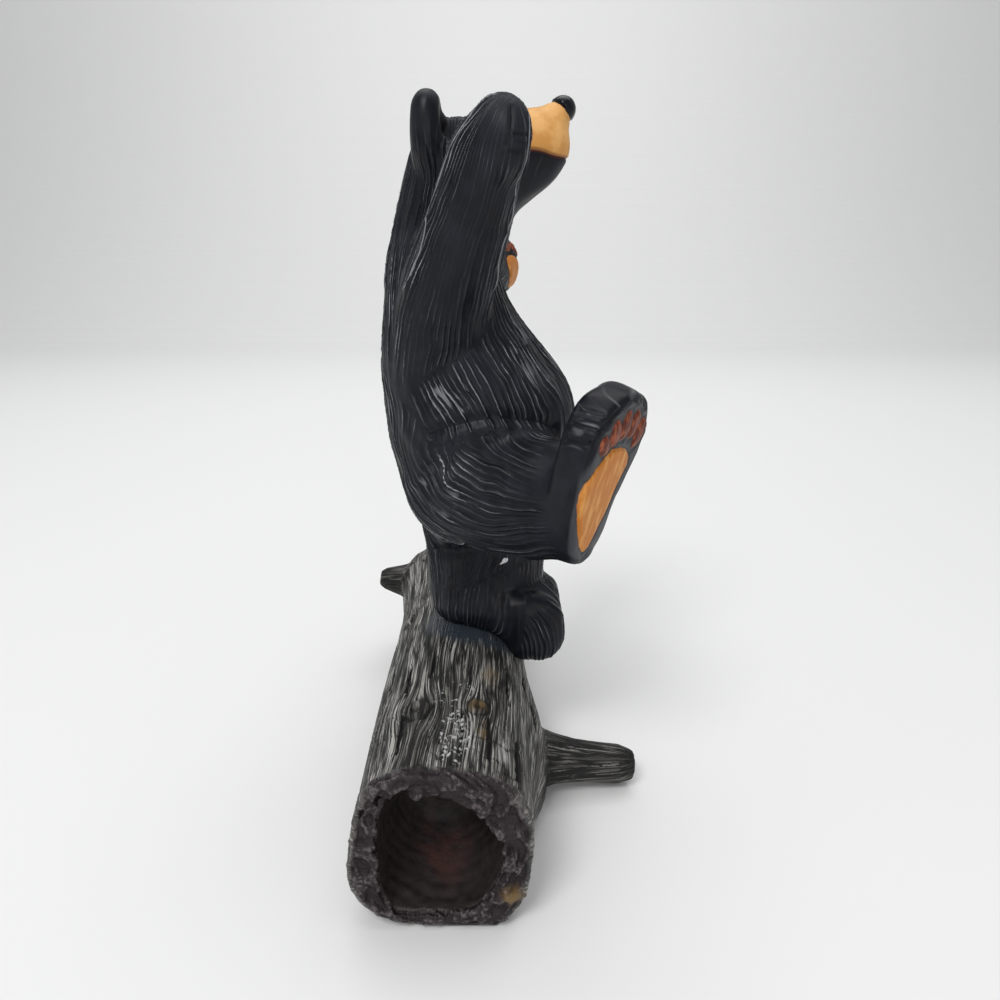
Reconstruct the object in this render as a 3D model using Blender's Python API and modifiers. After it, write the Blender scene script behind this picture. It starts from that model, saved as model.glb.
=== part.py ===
"""A black bear balancing on one leg on a hollow log, as a painted figurine of cast resin.

The bear looks along +X, the log lies along Y, and +Z is up. The origin is under the middle of
the log, on the surface that the figurine stands on. The bear and the log are two castings.
"""

import math
from typing import NamedTuple

import bmesh
import bpy
import numpy as np
from mathutils import Euler, Matrix, Vector

# Driving sizes of the log, in metres
LOG_LENGTH = 0.158
NEAR_END_WIDTH = 0.0442
NEAR_END_HEIGHT = 0.0438
MIDDLE_WIDTH = 0.0442
MIDDLE_HEIGHT = 0.0465
FAR_END_WIDTH = 0.0462
FAR_END_HEIGHT = 0.0452
NEAR_END_LEAN = 7.0
NEAR_END_SHIFT = 0.0003
FLAT_FOOT_DEPTH = 0.0008
RIM_ROUNDING = 0.0014

# How square the log's section is along it; 2 is an ellipse
NEAR_END_SQUARENESS = 3.0
MIDDLE_SQUARENESS = 2.3
FAR_END_SQUARENESS = 2.5

# How far the section wanders from that shape: share of its size, waves around, twist in radians
BROAD_WANDER = (0.012, 3, 2.2)
FINE_WANDER = (0.008, 7, -3.0)

# The two hollow ends: the wall is left all round, and the bottom is scooped like a bowl
SIDE_WALL = 0.0066
TOP_WALL = 0.0056
FLOOR_WALL = 0.0046
NEAR_HOLLOW_DEPTH = 0.027
FAR_HOLLOW_DEPTH = 0.011
MOUTH_SQUARENESS = 2.6
BOWL_FULLNESS = 0.5
MOUTH_CLEARANCE = 0.0006

# The two branch stubs: the front one props the log on the table
FRONT_STUB_REACH = 0.0557
FRONT_STUB_RADIUS = 0.0059
FRONT_STUB_TAPER = 0.0004
FRONT_STUB_FLARE = 0.0085
FRONT_STUB_PLACE = -0.0225
FRONT_STUB_SLANT = 0.0030
FRONT_STUB_FALL = 0.0056
BACK_STUB_REACH = 0.0345
BACK_STUB_RADIUS = 0.0037
BACK_STUB_TAPER = 0.0050
BACK_STUB_FLARE = 0.002
BACK_STUB_PLACE = 0.0600
BACK_STUB_HEIGHT = 0.0353
BACK_STUB_SLANT = 0.0020
BACK_STUB_RISE = 0.0030
STUB_ROOT_REACH = 0.0175
STUB_CLEARANCE = 0.0004

# A stub's broken tip narrows by this share over the last part of its length, and its root
# flares the more suddenly the higher this power
TIP_BLUNTING = 0.25
TIP_SHARE = 0.07
FLARE_POWER = 4

# The log swells round each branch: direction in degrees, place, height, reach along and around
FRONT_SWELLING = (-30.0, -0.0300, 0.0108, 0.0225, 35.0)
BACK_SWELLING = (142.0, 0.0600, 0.0055, 0.0170, 34.0)

# The bear stands on the log's middle, and its foot is cut to the log with this gap
BEAR_HEIGHT = 0.1525
SEAT_GAP = 0.0003

# Fineness of the clay: voxel in hundredths of the bear's height, smoothing passes, faces kept
CLAY_VOXEL = 0.85
CLAY_SMOOTHING = 4
CLAY_KEPT = 0.118

# The fur is gouged in long locks: depth in hundredths of the bear's height, how sharp the
# gouges are, and how soon the locks of one limb give way to those of the next
FUR_DEPTH = 0.42
FUR_SHARPNESS = 1.5
FUR_PARTING = 14.0

# The locks wind a little: radians, and turns along the limb and around it
FUR_WINDING = 1.0
WINDING_ALONG = 0.35
WINDING_AROUND = 3
DRIFT_REACH = 12.0

# A smooth place fades into the fur over this outer share of its reach
SMOOTH_FADE = 0.33

BLACK_PAINT = (0.012, 0.012, 0.015, 1.0)
BLACK_ROUGHNESS = 0.42
WEATHERED_WOOD = (0.105, 0.095, 0.080, 1.0)
WOOD_ROUGHNESS = 0.62


class Lump(NamedTuple):
    """One rounded mass of the figure, in hundredths of the bear's height, turned in degrees."""

    centre: tuple
    radii: tuple
    turn: tuple = (0.0, 0.0, 0.0)


# The figure as a sculptor builds it up: rows of masses that run into each other
TRUNK = (
    Lump((3.3, -2.0, 30.8), (13.1, 15.1, 13.1)),
    Lump((5.8, -2.6, 43.3), (18.5, 17.7, 17.7)),
    Lump((0.9, -2.6, 54.4), (14.4, 15.5, 15.7)),
    Lump((-0.5, -2.6, 64.0), (11.9, 14.1, 8.6)),
    Lump((-1.7, -2.6, 70.8), (10.3, 12.2, 8.0)),
    Lump((0.3, -2.6, 77.4), (10.7, 10.8, 8.0)),
    Lump((2.8, -2.6, 87.1), (10.5, 11.4, 9.8)),
)
MUZZLE = (
    Lump((5.2, -2.6, 87.5), (9.2, 9.5, 8.5)),
    Lump((10.5, -2.6, 90.5), (7.9, 7.2, 7.2)),
    Lump((15.7, -2.6, 92.3), (6.4, 5.7, 6.2)),
)
JAW = (
    Lump((6.2, -2.6, 83.6), (6.6, 6.8, 5.0)),
    Lump((15.0, -2.6, 88.8), (5.3, 4.8, 4.2)),
)
NOSE = Lump((20.2, -2.6, 97.9), (2.6, 3.3, 2.5), (0.0, -20.0, 0.0))
EAR_SPREAD = 7.9
EAR = (
    Lump((-2.6, -2.6, 91.0), (3.3, 4.5, 4.8)),
    Lump((-2.7, -2.6, 95.9), (3.1, 4.1, 4.2)),
)
EAR_CUP = Lump((1.1, -2.6, 94.6), (2.3, 2.7, 4.0))
EYE_SPREAD = 4.7
EYE = Lump((9.6, -2.6, 95.0), (1.5, 1.3, 1.4))
RIGHT_ARM = (
    Lump((-3.4, -8.0, 53.0), (7.8, 8.2, 14.6)),
    Lump((0.2, -14.0, 67.6), (8.1, 7.8, 9.0)),
    Lump((3.2, -19.2, 75.0), (7.4, 6.6, 7.2)),
    Lump((5.8, -23.4, 82.0), (6.4, 5.9, 6.6)),
    Lump((7.4, -26.0, 87.6), (5.8, 5.2, 5.8)),
)
RIGHT_PAW = Lump((8.9, -27.4, 89.0), (4.6, 6.5, 6.9), (28.0, 8.0, 34.0))
LEFT_ARM = (
    Lump((-3.0, 3.4, 56.0), (8.0, 8.4, 13.4)),
    Lump((0.6, 12.0, 66.4), (7.6, 7.2, 7.6)),
    Lump((4.2, 20.4, 69.2), (6.6, 6.2, 6.6)),
    Lump((6.8, 26.4, 71.2), (5.4, 5.6, 5.8)),
)
LEFT_PAW = Lump((8.8, 30.0, 72.6), (4.6, 6.8, 6.8), (-24.0, 0.0, -18.0))
RIGHT_LEG = (
    Lump((3.9, -9.5, 32.8), (13.1, 10.5, 12.5)),
    Lump((9.8, -15.1, 32.1), (11.1, 8.9, 11.8)),
    Lump((16.2, -20.0, 32.0), (8.9, 7.9, 11.5)),
    Lump((19.4, -22.0, 32.6), (7.0, 7.2, 10.8)),
)
LEFT_LEG = (
    Lump((5.0, 3.0, 27.0), (13.6, 10.8, 12.0)),
    Lump((6.5, 3.4, 14.0), (12.8, 9.2, 9.6)),
    Lump((6.0, 3.4, 6.0), (12.6, 8.8, 8.6)),
)
STANDING_FOOT = (
    Lump((2.4, 2.8, 3.6), (8.2, 8.0, 6.2)),
    Lump((9.4, 2.4, 2.6), (9.2, 9.6, 6.6)),
)
TOE = (
    Lump((15.6, 1.8, 2.4), (7.4, 3.3, 5.6)),
    Lump((16.2, 1.8, -2.6), (7.0, 3.3, 5.6)),
)
TOE_SPACING = 4.6
TOES = 4

# The raised foot is a thick slab with rounded edges; its sole faces along the leg
SOLE_CENTRE = (27.4, -28.0, 36.6)
SOLE_LENGTH = 33.4
SOLE_WIDTH = 17.0
SOLE_THICKNESS = 7.0
SOLE_ROUNDING = 0.12
SOLE_SQUARENESS = 2.4
SOLE_TOE_FLARE = 0.30
SOLE_ARCH = 0.30
SOLE_ARCH_PLACE = -0.25
SOLE_ARCH_REACH = 0.40
SOLE_SWING = 37.0
SOLE_DIP = 17.0
SOLE_ROLL = -2.0


class Pelt(NamedTuple):
    """The fur of one limb: its row, the locks around it, and how far they drift round its sides.

    The drift is in radians, and it happens mostly near a place along the row.
    """

    row: tuple
    locks: int
    drift: float
    drift_place: float


PELTS = (
    Pelt(TRUNK, 26, 0.45, 14.0),
    Pelt(RIGHT_ARM, 13, 0.15, 20.0),
    Pelt(LEFT_ARM, 13, 0.15, 20.0),
    Pelt(RIGHT_LEG, 17, 0.10, 8.0),
    Pelt(LEFT_LEG, 17, 0.10, 10.0),
)

# Places that stay smooth, each a centre and a reach: face, ears, paws, toes and the raised foot
SMOOTH_PLACES = (
    ((13.0, -2.6, 91.0), 14.0),
    ((-2.7, -2.6 - EAR_SPREAD, 94.0), 7.0),
    ((-2.7, -2.6 + EAR_SPREAD, 94.0), 7.0),
    (RIGHT_PAW.centre, 8.5),
    (LEFT_PAW.centre, 8.5),
    (TOE[0].centre, 9.0),
    (SOLE_CENTRE, 16.5),
)


def in_metres(shares: tuple) -> Vector:
    """A place on the figure, from hundredths of the bear's height to metres."""
    return Vector(shares) * BEAR_HEIGHT / 100 + Vector((0, 0, MIDDLE_HEIGHT))


def add_lump(clay: bmesh.types.BMesh, lump: Lump) -> None:
    """Adds one stretched ball of clay."""
    turn = Euler([math.radians(angle) for angle in lump.turn])
    radii = Vector(lump.radii) * BEAR_HEIGHT / 100
    place = Matrix.LocRotScale(in_metres(lump.centre), turn, radii)
    ball = bmesh.new()
    bmesh.ops.create_uvsphere(ball, u_segments=28, v_segments=18, radius=1, matrix=place)
    add_clay(clay, ball)


def add_clay(clay: bmesh.types.BMesh, piece: bmesh.types.BMesh) -> None:
    """Moves a finished piece of clay into the heap."""
    data = bpy.data.meshes.new("clay")
    piece.to_mesh(data)
    piece.free()
    clay.from_mesh(data)
    bpy.data.meshes.remove(data)


def shifted(lump: Lump, aside: float) -> Lump:
    """The same lump, moved along Y."""
    x, y, z = lump.centre
    return lump._replace(centre=(x, y + aside, z))


def add_row(clay: bmesh.types.BMesh, stations: tuple, between: int = 5) -> None:
    """Adds a row of balls that run smoothly from each station to the next."""
    for first, second in zip(stations, stations[1:]):
        for step in range(between + 1):
            share = step / between
            mixed = [
                tuple(Vector(a).lerp(Vector(b), share))
                for a, b in zip(first[:2], second[:2])
            ]
            add_lump(clay, Lump(*mixed))


def sole_place() -> Matrix:
    """The raised sole's frame: its own X runs to the toes, and Z out of the sole."""
    swing, dip = math.radians(SOLE_SWING), math.radians(SOLE_DIP)
    level = Vector((math.cos(swing), -math.sin(swing), 0))
    outward = level * math.cos(dip) - Vector((0, 0, math.sin(dip)))
    across = Vector((0, 0, 1)).cross(level)
    toes = outward.cross(across)
    turn = Matrix((toes, across, outward)).transposed().to_4x4()
    roll = Matrix.Rotation(math.radians(SOLE_ROLL), 4, "Z")
    return Matrix.Translation(in_metres(SOLE_CENTRE)) @ turn @ roll


def is_rim(edge: bmesh.types.BMEdge) -> bool:
    """Whether an edge parts a flat end from a side."""
    first, second = edge.link_faces
    return len(first.verts) != len(second.verts)


def add_raised_foot(clay: bmesh.types.BMesh) -> None:
    """Adds the raised foot: an egg-shaped slab, wider at the toes, drawn in at the inner arch."""
    unit = BEAR_HEIGHT / 100
    thickness = SOLE_THICKNESS * unit
    slab = bmesh.new()
    bmesh.ops.create_cone(
        slab, cap_ends=True, segments=36, radius1=1, radius2=1, depth=thickness,
        matrix=Matrix.Translation((0, 0, -thickness / 2)),
    )
    for vertex in slab.verts:
        angle = math.atan2(vertex.co.y, vertex.co.x)
        point = rounded_square(angle, SOLE_LENGTH * unit, SOLE_WIDTH * unit, SOLE_SQUARENESS)
        along = 2 * point.x / (SOLE_LENGTH * unit)
        arch = SOLE_ARCH * math.exp(-((along - SOLE_ARCH_PLACE) / SOLE_ARCH_REACH) ** 2)
        inner = arch if point.z > 0 else 0.0
        vertex.co.x = point.x
        vertex.co.y = point.z * (1 + SOLE_TOE_FLARE * along) * (1 - inner)
    rims = [edge for edge in slab.edges if is_rim(edge)]
    bmesh.ops.bevel(
        slab, geom=rims, offset=thickness * SOLE_ROUNDING, segments=4, profile=0.5, affect="EDGES",
        material=-1,
    )
    bmesh.ops.transform(slab, matrix=sole_place(), verts=slab.verts)
    add_clay(clay, slab)


def pelt_wave(points: np.ndarray, pelt: Pelt) -> tuple:
    """How near each point is to a limb, in limb radii, and its lock's height from 0 to 1."""
    centres = np.array([lump.centre for lump in pelt.row])
    radii = np.array([lump.radii for lump in pelt.row])
    nearest = np.full(len(points), np.inf)
    offset = np.zeros_like(points)
    along = np.zeros(len(points))
    walked = 0.0
    for here, there, wide, narrow in zip(centres, centres[1:], radii, radii[1:]):
        step = there - here
        share = np.clip((points - here) @ step / (step @ step), 0.0, 1.0)
        away = points - here - share[:, None] * step
        near = np.linalg.norm(away / (wide + share[:, None] * (narrow - wide)), axis=1)
        closer = near < nearest
        nearest = np.where(closer, near, nearest)
        offset[closer] = away[closer]
        length = np.linalg.norm(step)
        along = np.where(closer, walked + share * length, along)
        walked += length
    axis = (centres[-1] - centres[0]) / np.linalg.norm(centres[-1] - centres[0])
    forward = np.array((1.0, 0.0, 0.0)) - axis * axis[0]
    forward /= np.linalg.norm(forward)
    aside = np.cross(axis, forward)
    angle = np.arctan2(offset @ aside, offset @ forward)
    drift = pelt.drift * np.tanh((along - pelt.drift_place) / DRIFT_REACH)
    winding = FUR_WINDING * np.sin(WINDING_ALONG * along + WINDING_AROUND * angle)
    phase = pelt.locks * (angle - drift * np.sin(angle)) + winding
    return nearest, np.abs(np.sin(phase / 2))


def fur_depth(points: np.ndarray) -> np.ndarray:
    """How deep the gouges between the locks go at each point, in hundredths of the height."""
    waves = [pelt_wave(points, pelt) for pelt in PELTS]
    near = np.array([wave[0] for wave in waves])
    height = np.array([wave[1] for wave in waves])
    weight = np.exp(-FUR_PARTING * (near - near.min(axis=0)))
    wave = (weight * height).sum(axis=0) / weight.sum(axis=0)
    gouge = FUR_DEPTH * (1.0 - wave) ** FUR_SHARPNESS
    for centre, reach in SMOOTH_PLACES:
        away = np.linalg.norm(points - np.array(centre), axis=1) / reach
        gouge *= np.clip((away - 1.0 + SMOOTH_FADE) / SMOOTH_FADE, 0.0, 1.0)
    return gouge


def carve_fur(data: bpy.types.Mesh) -> None:
    """Gouges the locks of fur into a clay mesh."""
    unit = BEAR_HEIGHT / 100
    places = np.empty(3 * len(data.vertices))
    normals = np.empty_like(places)
    data.vertices.foreach_get("co", places)
    data.vertices.foreach_get("normal", normals)
    places = places.reshape(-1, 3)
    shares = (places - np.array(in_metres((0, 0, 0)))) / unit
    places -= normals.reshape(-1, 3) * (fur_depth(shares) * unit)[:, None]
    data.vertices.foreach_set("co", places.ravel())
    data.update()


def paint(name: str, colour: tuple, roughness: float) -> bpy.types.Material:
    """A plain painted finish."""
    material = bpy.data.materials.new(name)
    material.use_nodes = True
    shader = material.node_tree.nodes["Principled BSDF"]
    shader.inputs["Base Color"].default_value = colour
    shader.inputs["Roughness"].default_value = roughness
    shader.inputs["Metallic"].default_value = 0.0
    return material


def as_object(name: str, mesh: bmesh.types.BMesh, collection) -> bpy.types.Object:
    """Turns a bmesh into an object of a collection."""
    bmesh.ops.recalc_face_normals(mesh, faces=mesh.faces)
    data = bpy.data.meshes.new(name)
    mesh.to_mesh(data)
    mesh.free()
    data.shade_smooth()
    made = bpy.data.objects.new(name, data)
    collection.objects.link(made)
    return made


def cut_or_join(target: bpy.types.Object, other: bpy.types.Object, operation: str) -> None:
    """Adds a Boolean of another object, which is then only a guide."""
    boolean = target.modifiers.new(f"{operation.title()} {other.name}", "BOOLEAN")
    boolean.operation = operation
    boolean.object = other
    other.hide_render = True
    other.display_type = "WIRE"


def between_ends(near: float, middle: float, far: float, along: float) -> float:
    """A size along the log: near at -1, middle at 0 and far at 1, with no kink between."""
    end = near if along < 0 else far
    return middle + (end - middle) * (1 - math.cos(math.pi * along)) / 2


def rounded_square(angle: float, width: float, height: float, squareness: float) -> Vector:
    """A point of a rounded square about the Y axis; squareness 2 is an ellipse."""
    power = 2 / squareness
    across, up = math.cos(angle), math.sin(angle)
    x = width / 2 * math.copysign(abs(across) ** power, across)
    z = height / 2 * math.copysign(abs(up) ** power, up)
    return Vector((x, 0, z))


def log_lean(along: float) -> Matrix:
    """The log's section is turned a little at the near end, and level from the middle on."""
    lean = between_ends(NEAR_END_LEAN, 0.0, 0.0, along)
    return Matrix.Rotation(math.radians(lean), 4, "Y")


def swelling(angle: float, along: float, bump: tuple) -> float:
    """How far a branch's root lifts the log's skin at a point."""
    direction, place, height, reach, spread = bump
    turned = math.degrees(angle) - direction
    turned = (turned + 180) % 360 - 180
    away = (along * LOG_LENGTH / 2 - place) / reach
    return height * math.exp(-away ** 2 - (turned / spread) ** 2)


def log_point(angle: float, along: float, grow: float) -> Vector:
    """A point on the log's skin: a rounded square that is rounder in the middle."""
    width = between_ends(NEAR_END_WIDTH, MIDDLE_WIDTH, FAR_END_WIDTH, along)
    height = between_ends(NEAR_END_HEIGHT, MIDDLE_HEIGHT, FAR_END_HEIGHT, along)
    squareness = between_ends(NEAR_END_SQUARENESS, MIDDLE_SQUARENESS, FAR_END_SQUARENESS, along)
    wander = 1.0
    for share, waves, twist in (BROAD_WANDER, FINE_WANDER):
        wander += share * math.sin(waves * angle + twist * along)
    point = log_lean(along) @ (rounded_square(angle, width, height, squareness) * wander)
    lift = swelling(angle, along, FRONT_SWELLING) + swelling(angle, along, BACK_SWELLING)
    point += point.normalized() * (grow + lift)
    point.z = max(point.z + height / 2, FLAT_FOOT_DEPTH - grow) - FLAT_FOOT_DEPTH
    point.x += between_ends(NEAR_END_SHIFT, 0.0, 0.0, along)
    point.y = along * (LOG_LENGTH / 2 + grow)
    return point


def tube(segments: int, rings: int) -> bmesh.types.BMesh:
    """A closed tube along Y from -1 to 1, with its sides cut into rings."""
    mesh = bmesh.new()
    bmesh.ops.create_cone(
        mesh, cap_ends=True, segments=segments, radius1=1, radius2=1, depth=2,
        matrix=Matrix.Rotation(math.radians(-90), 4, "X"),
    )
    sides = [edge for edge in mesh.edges if abs(edge.verts[0].co.y - edge.verts[1].co.y) > 1]
    bmesh.ops.subdivide_edges(mesh, edges=sides, cuts=rings - 1, use_grid_fill=False)
    return mesh


def log_skin(grow: float = 0.0) -> bmesh.types.BMesh:
    """The log's outer skin, closed at both ends, grown outwards by a margin."""
    mesh = tube(segments=40, rings=16)
    for vertex in mesh.verts:
        angle = math.atan2(vertex.co.z, vertex.co.x)
        vertex.co = log_point(angle, vertex.co.y, grow)
    end = LOG_LENGTH / 2 + grow - 1e-5
    rims = [edge for edge in mesh.edges if all(abs(vertex.co.y) > end for vertex in edge.verts)]
    bmesh.ops.bevel(
        mesh, geom=rims, offset=RIM_ROUNDING, segments=2, profile=0.5, affect="EDGES", material=-1,
    )
    return mesh


def hollow(depth: float, end: float) -> bmesh.types.BMesh:
    """A scooped hollow at one end of the log: a rounded square mouth and a bowl behind it."""
    width = (NEAR_END_WIDTH if end < 0 else FAR_END_WIDTH) - 2 * SIDE_WALL
    height = (NEAR_END_HEIGHT if end < 0 else FAR_END_HEIGHT) - TOP_WALL - FLOOR_WALL
    centre = Vector((0, end * (LOG_LENGTH / 2 + MOUTH_CLEARANCE), FLOOR_WALL + height / 2))
    mesh = bmesh.new()
    turn = Matrix.Rotation(math.radians(90), 4, "X")
    bmesh.ops.create_uvsphere(mesh, u_segments=24, v_segments=16, radius=1, matrix=turn)
    for vertex in mesh.verts:
        inward = -vertex.co.y * end
        ring = math.hypot(vertex.co.x, vertex.co.z)
        angle = math.atan2(vertex.co.z, vertex.co.x)
        at_pole = ring < abs(vertex.co.y) / 100
        outer = 0.0 if at_pole else 1.0
        spread = ring ** BOWL_FULLNESS if inward > 0 else outer
        squareness = 2 + (MOUTH_SQUARENESS - 2) * spread
        section = rounded_square(angle, width * spread, height * spread, squareness)
        vertex.co = centre + log_lean(end) @ section + Vector((0, -end * inward * depth, 0))
    return mesh


def branch_stub(
    root: Vector, tip: Vector, radius: float, taper: float, flare: float,
) -> bmesh.types.BMesh:
    """A broken branch: it thickens towards the log, flares into it, and ends blunt."""
    run = tip - root
    mesh = tube(segments=16, rings=8)
    turn = run.to_track_quat("Y", "Z").to_matrix()
    for vertex in mesh.verts:
        share = (vertex.co.y + 1) / 2
        spread = taper * (1 - share) + flare * (1 - share) ** FLARE_POWER
        blunt = 1 - TIP_BLUNTING * max(0.0, (share - 1 + TIP_SHARE) / TIP_SHARE) ** 2
        thick = radius * blunt + spread
        around = Vector((vertex.co.x * thick, share * run.length, vertex.co.z * thick))
        vertex.co = root + turn @ around
        vertex.co.z = max(vertex.co.z, STUB_CLEARANCE)
    return mesh


def make_log(pieces, guides) -> bpy.types.Object:
    """The log: skin, two stubs and two scooped ends."""
    log = as_object("hollow_log", log_skin(), pieces)
    front_tip = Vector((FRONT_STUB_REACH, FRONT_STUB_PLACE, FRONT_STUB_RADIUS))
    front_root = front_tip + Vector((0, -FRONT_STUB_SLANT, FRONT_STUB_FALL))
    front_root.x = STUB_ROOT_REACH
    back_tip = Vector((-BACK_STUB_REACH, BACK_STUB_PLACE, BACK_STUB_HEIGHT))
    back_root = back_tip + Vector((0, BACK_STUB_SLANT, -BACK_STUB_RISE))
    back_root.x = -STUB_ROOT_REACH
    front = branch_stub(
        front_root, front_tip, FRONT_STUB_RADIUS, FRONT_STUB_TAPER, FRONT_STUB_FLARE,
    )
    back = branch_stub(back_root, back_tip, BACK_STUB_RADIUS, BACK_STUB_TAPER, BACK_STUB_FLARE)
    cut_or_join(log, as_object("front_stub", front, guides), "UNION")
    cut_or_join(log, as_object("back_stub", back, guides), "UNION")
    cut_or_join(log, as_object("near_hollow", hollow(NEAR_HOLLOW_DEPTH, -1), guides), "DIFFERENCE")
    cut_or_join(log, as_object("far_hollow", hollow(FAR_HOLLOW_DEPTH, 1), guides), "DIFFERENCE")
    log.data.materials.append(paint("weathered_wood_paint", WEATHERED_WOOD, WOOD_ROUGHNESS))
    return log


def make_bear(pieces, guides) -> bpy.types.Object:
    """The bear: masses of clay run together, smoothed, and cut to the log under its foot."""
    clay = bmesh.new()
    for row in (TRUNK, MUZZLE, JAW, RIGHT_ARM, LEFT_ARM, RIGHT_LEG, LEFT_LEG, STANDING_FOOT):
        add_row(clay, row)
    for lump in (NOSE, RIGHT_PAW, LEFT_PAW):
        add_lump(clay, lump)
    for toe in range(TOES):
        aside = (toe - (TOES - 1) / 2) * TOE_SPACING
        add_row(clay, tuple(shifted(lump, aside) for lump in TOE))
    for side in (-1, 1):
        add_row(clay, tuple(shifted(lump, side * EAR_SPREAD) for lump in EAR))
        add_lump(clay, shifted(EYE, side * EYE_SPREAD))
    add_raised_foot(clay)
    heap = as_object("clay_heap", clay, guides)

    fused = heap.modifiers.new("Run together", "REMESH")
    fused.mode = "VOXEL"
    fused.voxel_size = CLAY_VOXEL * BEAR_HEIGHT / 100
    cups = bmesh.new()
    for side in (-1, 1):
        add_lump(cups, shifted(EAR_CUP, side * EAR_SPREAD))
    cut_or_join(heap, as_object("ear_cups", cups, guides), "DIFFERENCE")
    healed = heap.modifiers.new("Close up", "REMESH")
    healed.mode = "VOXEL"
    healed.voxel_size = fused.voxel_size
    smooth = heap.modifiers.new("Smooth", "SMOOTH")
    smooth.iterations = CLAY_SMOOTHING
    modelled = heap.evaluated_get(bpy.context.evaluated_depsgraph_get())
    data = bpy.data.meshes.new_from_object(modelled)
    bpy.data.objects.remove(heap)
    carve_fur(data)
    data.shade_smooth()

    bear = bpy.data.objects.new("bear", data)
    pieces.objects.link(bear)
    fewer = bear.modifiers.new("Fewer faces", "DECIMATE")
    fewer.ratio = CLAY_KEPT
    cut_or_join(bear, as_object("log_seat", log_skin(grow=SEAT_GAP), guides), "DIFFERENCE")
    bear.data.materials.append(paint("black_fur_paint", BLACK_PAINT, BLACK_ROUGHNESS))
    return bear


def collection(name: str):
    """A new collection of the scene."""
    made = bpy.data.collections.new(name)
    bpy.context.scene.collection.children.link(made)
    return made


def main() -> None:
    """Clears the scene and builds the figurine."""
    for item in list(bpy.data.objects):
        bpy.data.objects.remove(item)
    pieces = collection("bear_on_log")
    guides = collection("guides")
    make_log(pieces, guides)
    make_bear(pieces, guides)


if __name__ == "__main__":
    main()
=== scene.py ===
"""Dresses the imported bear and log: carved fur, painted pads, weathered wood, and the studio.

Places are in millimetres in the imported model's own axes, unless a name says otherwise: the
bear faces +X, the log lies along Y, and +Z is up.
"""

import logging
import math
from dataclasses import dataclass
from enum import Enum

import bmesh
import bpy
import numpy as np
from mathutils import Euler, Matrix, Vector


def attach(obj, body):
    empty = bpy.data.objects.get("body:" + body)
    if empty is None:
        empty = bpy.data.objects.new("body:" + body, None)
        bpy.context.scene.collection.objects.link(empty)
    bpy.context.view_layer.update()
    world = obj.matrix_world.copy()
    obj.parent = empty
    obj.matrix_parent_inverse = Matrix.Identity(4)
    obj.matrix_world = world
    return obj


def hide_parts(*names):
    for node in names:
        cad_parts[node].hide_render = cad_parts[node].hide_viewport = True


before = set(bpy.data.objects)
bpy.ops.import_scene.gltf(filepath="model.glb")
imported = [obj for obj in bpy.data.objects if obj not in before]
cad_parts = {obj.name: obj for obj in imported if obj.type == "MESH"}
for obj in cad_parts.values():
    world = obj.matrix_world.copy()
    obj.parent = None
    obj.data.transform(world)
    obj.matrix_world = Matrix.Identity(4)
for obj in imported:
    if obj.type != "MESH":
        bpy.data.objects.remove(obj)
MILLIMETRE = 0.001

WELD_DISTANCE = 0.00001

# Flow coordinates run this many units from one carved stroke to the next
STROKE_FLOW = 1.6

# Millimetres along a limb over which its strokes drift sideways
DRIFT_SPAN = 18.0

# How sharply the strokes of one limb give way to those of the next
BORDER_SHARPNESS = 16.0

# Millimetres from a crease or ridge at which it no longer counts
LINE_REACH = 6.0

# Millimetres of depth into a painted zone that the paint can tell apart
ZONE_DEPTH = 3.0
REPORT = logging.getLogger("bear_on_log")


def hashed(cells: np.ndarray, seed: int) -> np.ndarray:
    """Repeatable random numbers for whole-number cells.

    Args:
        cells: Whole numbers, one row for each cell.
        seed: Which of many sets of numbers to take.

    Returns:
        One number from 0 to 1 for each row.
    """
    low_bits = np.uint64(0xFFFFFFFF)
    mixed = np.full(len(cells), (seed * 2654435761 + 40503) % 2**32, dtype=np.uint64)
    for column, prime in zip(cells.T, (73856093, 19349663, 83492791)):
        mixed ^= (column.astype(np.int64) * prime).astype(np.uint64) & low_bits
        mixed = (mixed * np.uint64(0x9E3779B1)) & low_bits
        mixed ^= mixed >> np.uint64(15)
    return mixed / 4294967296.0


def soft_noise(points: np.ndarray, seed: int) -> np.ndarray:
    """Smooth noise with one swell per unit.

    Args:
        points: Places, one row each, of two or three numbers.
        seed: Which noise to take.

    Returns:
        A number from -1 to 1 for each row.
    """
    base = np.floor(points)
    part = points - base
    part = part * part * (3 - 2 * part)
    total = np.zeros(len(points))
    for corner in np.ndindex(*(2,) * points.shape[1]):
        share = np.ones(len(points))
        for axis, side in enumerate(corner):
            share *= part[:, axis] if side else 1 - part[:, axis]
        total += share * hashed(base + corner, seed)
    return 2 * total - 1


def rough_noise(points: np.ndarray, seed: int, layers: int = 3) -> np.ndarray:
    """Several layers of smooth noise, each half as large and half as wide as the last.

    Args:
        points: Places, one row each.
        seed: Which noise to take.
        layers: How many layers are added.

    Returns:
        A number of about -1 to 1 for each row.
    """
    total = np.zeros(len(points))
    for layer in range(layers):
        total += soft_noise(points * 2**layer, seed + layer) / 2**layer
    return total / (2 - 2 ** (1 - layers))


def fade(value: np.ndarray, low: float, high: float) -> np.ndarray:
    """Eases from 0 at low to 1 at high."""
    share = np.clip((value - low) / (high - low), 0.0, 1.0)
    return share * share * (3 - 2 * share)


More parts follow.
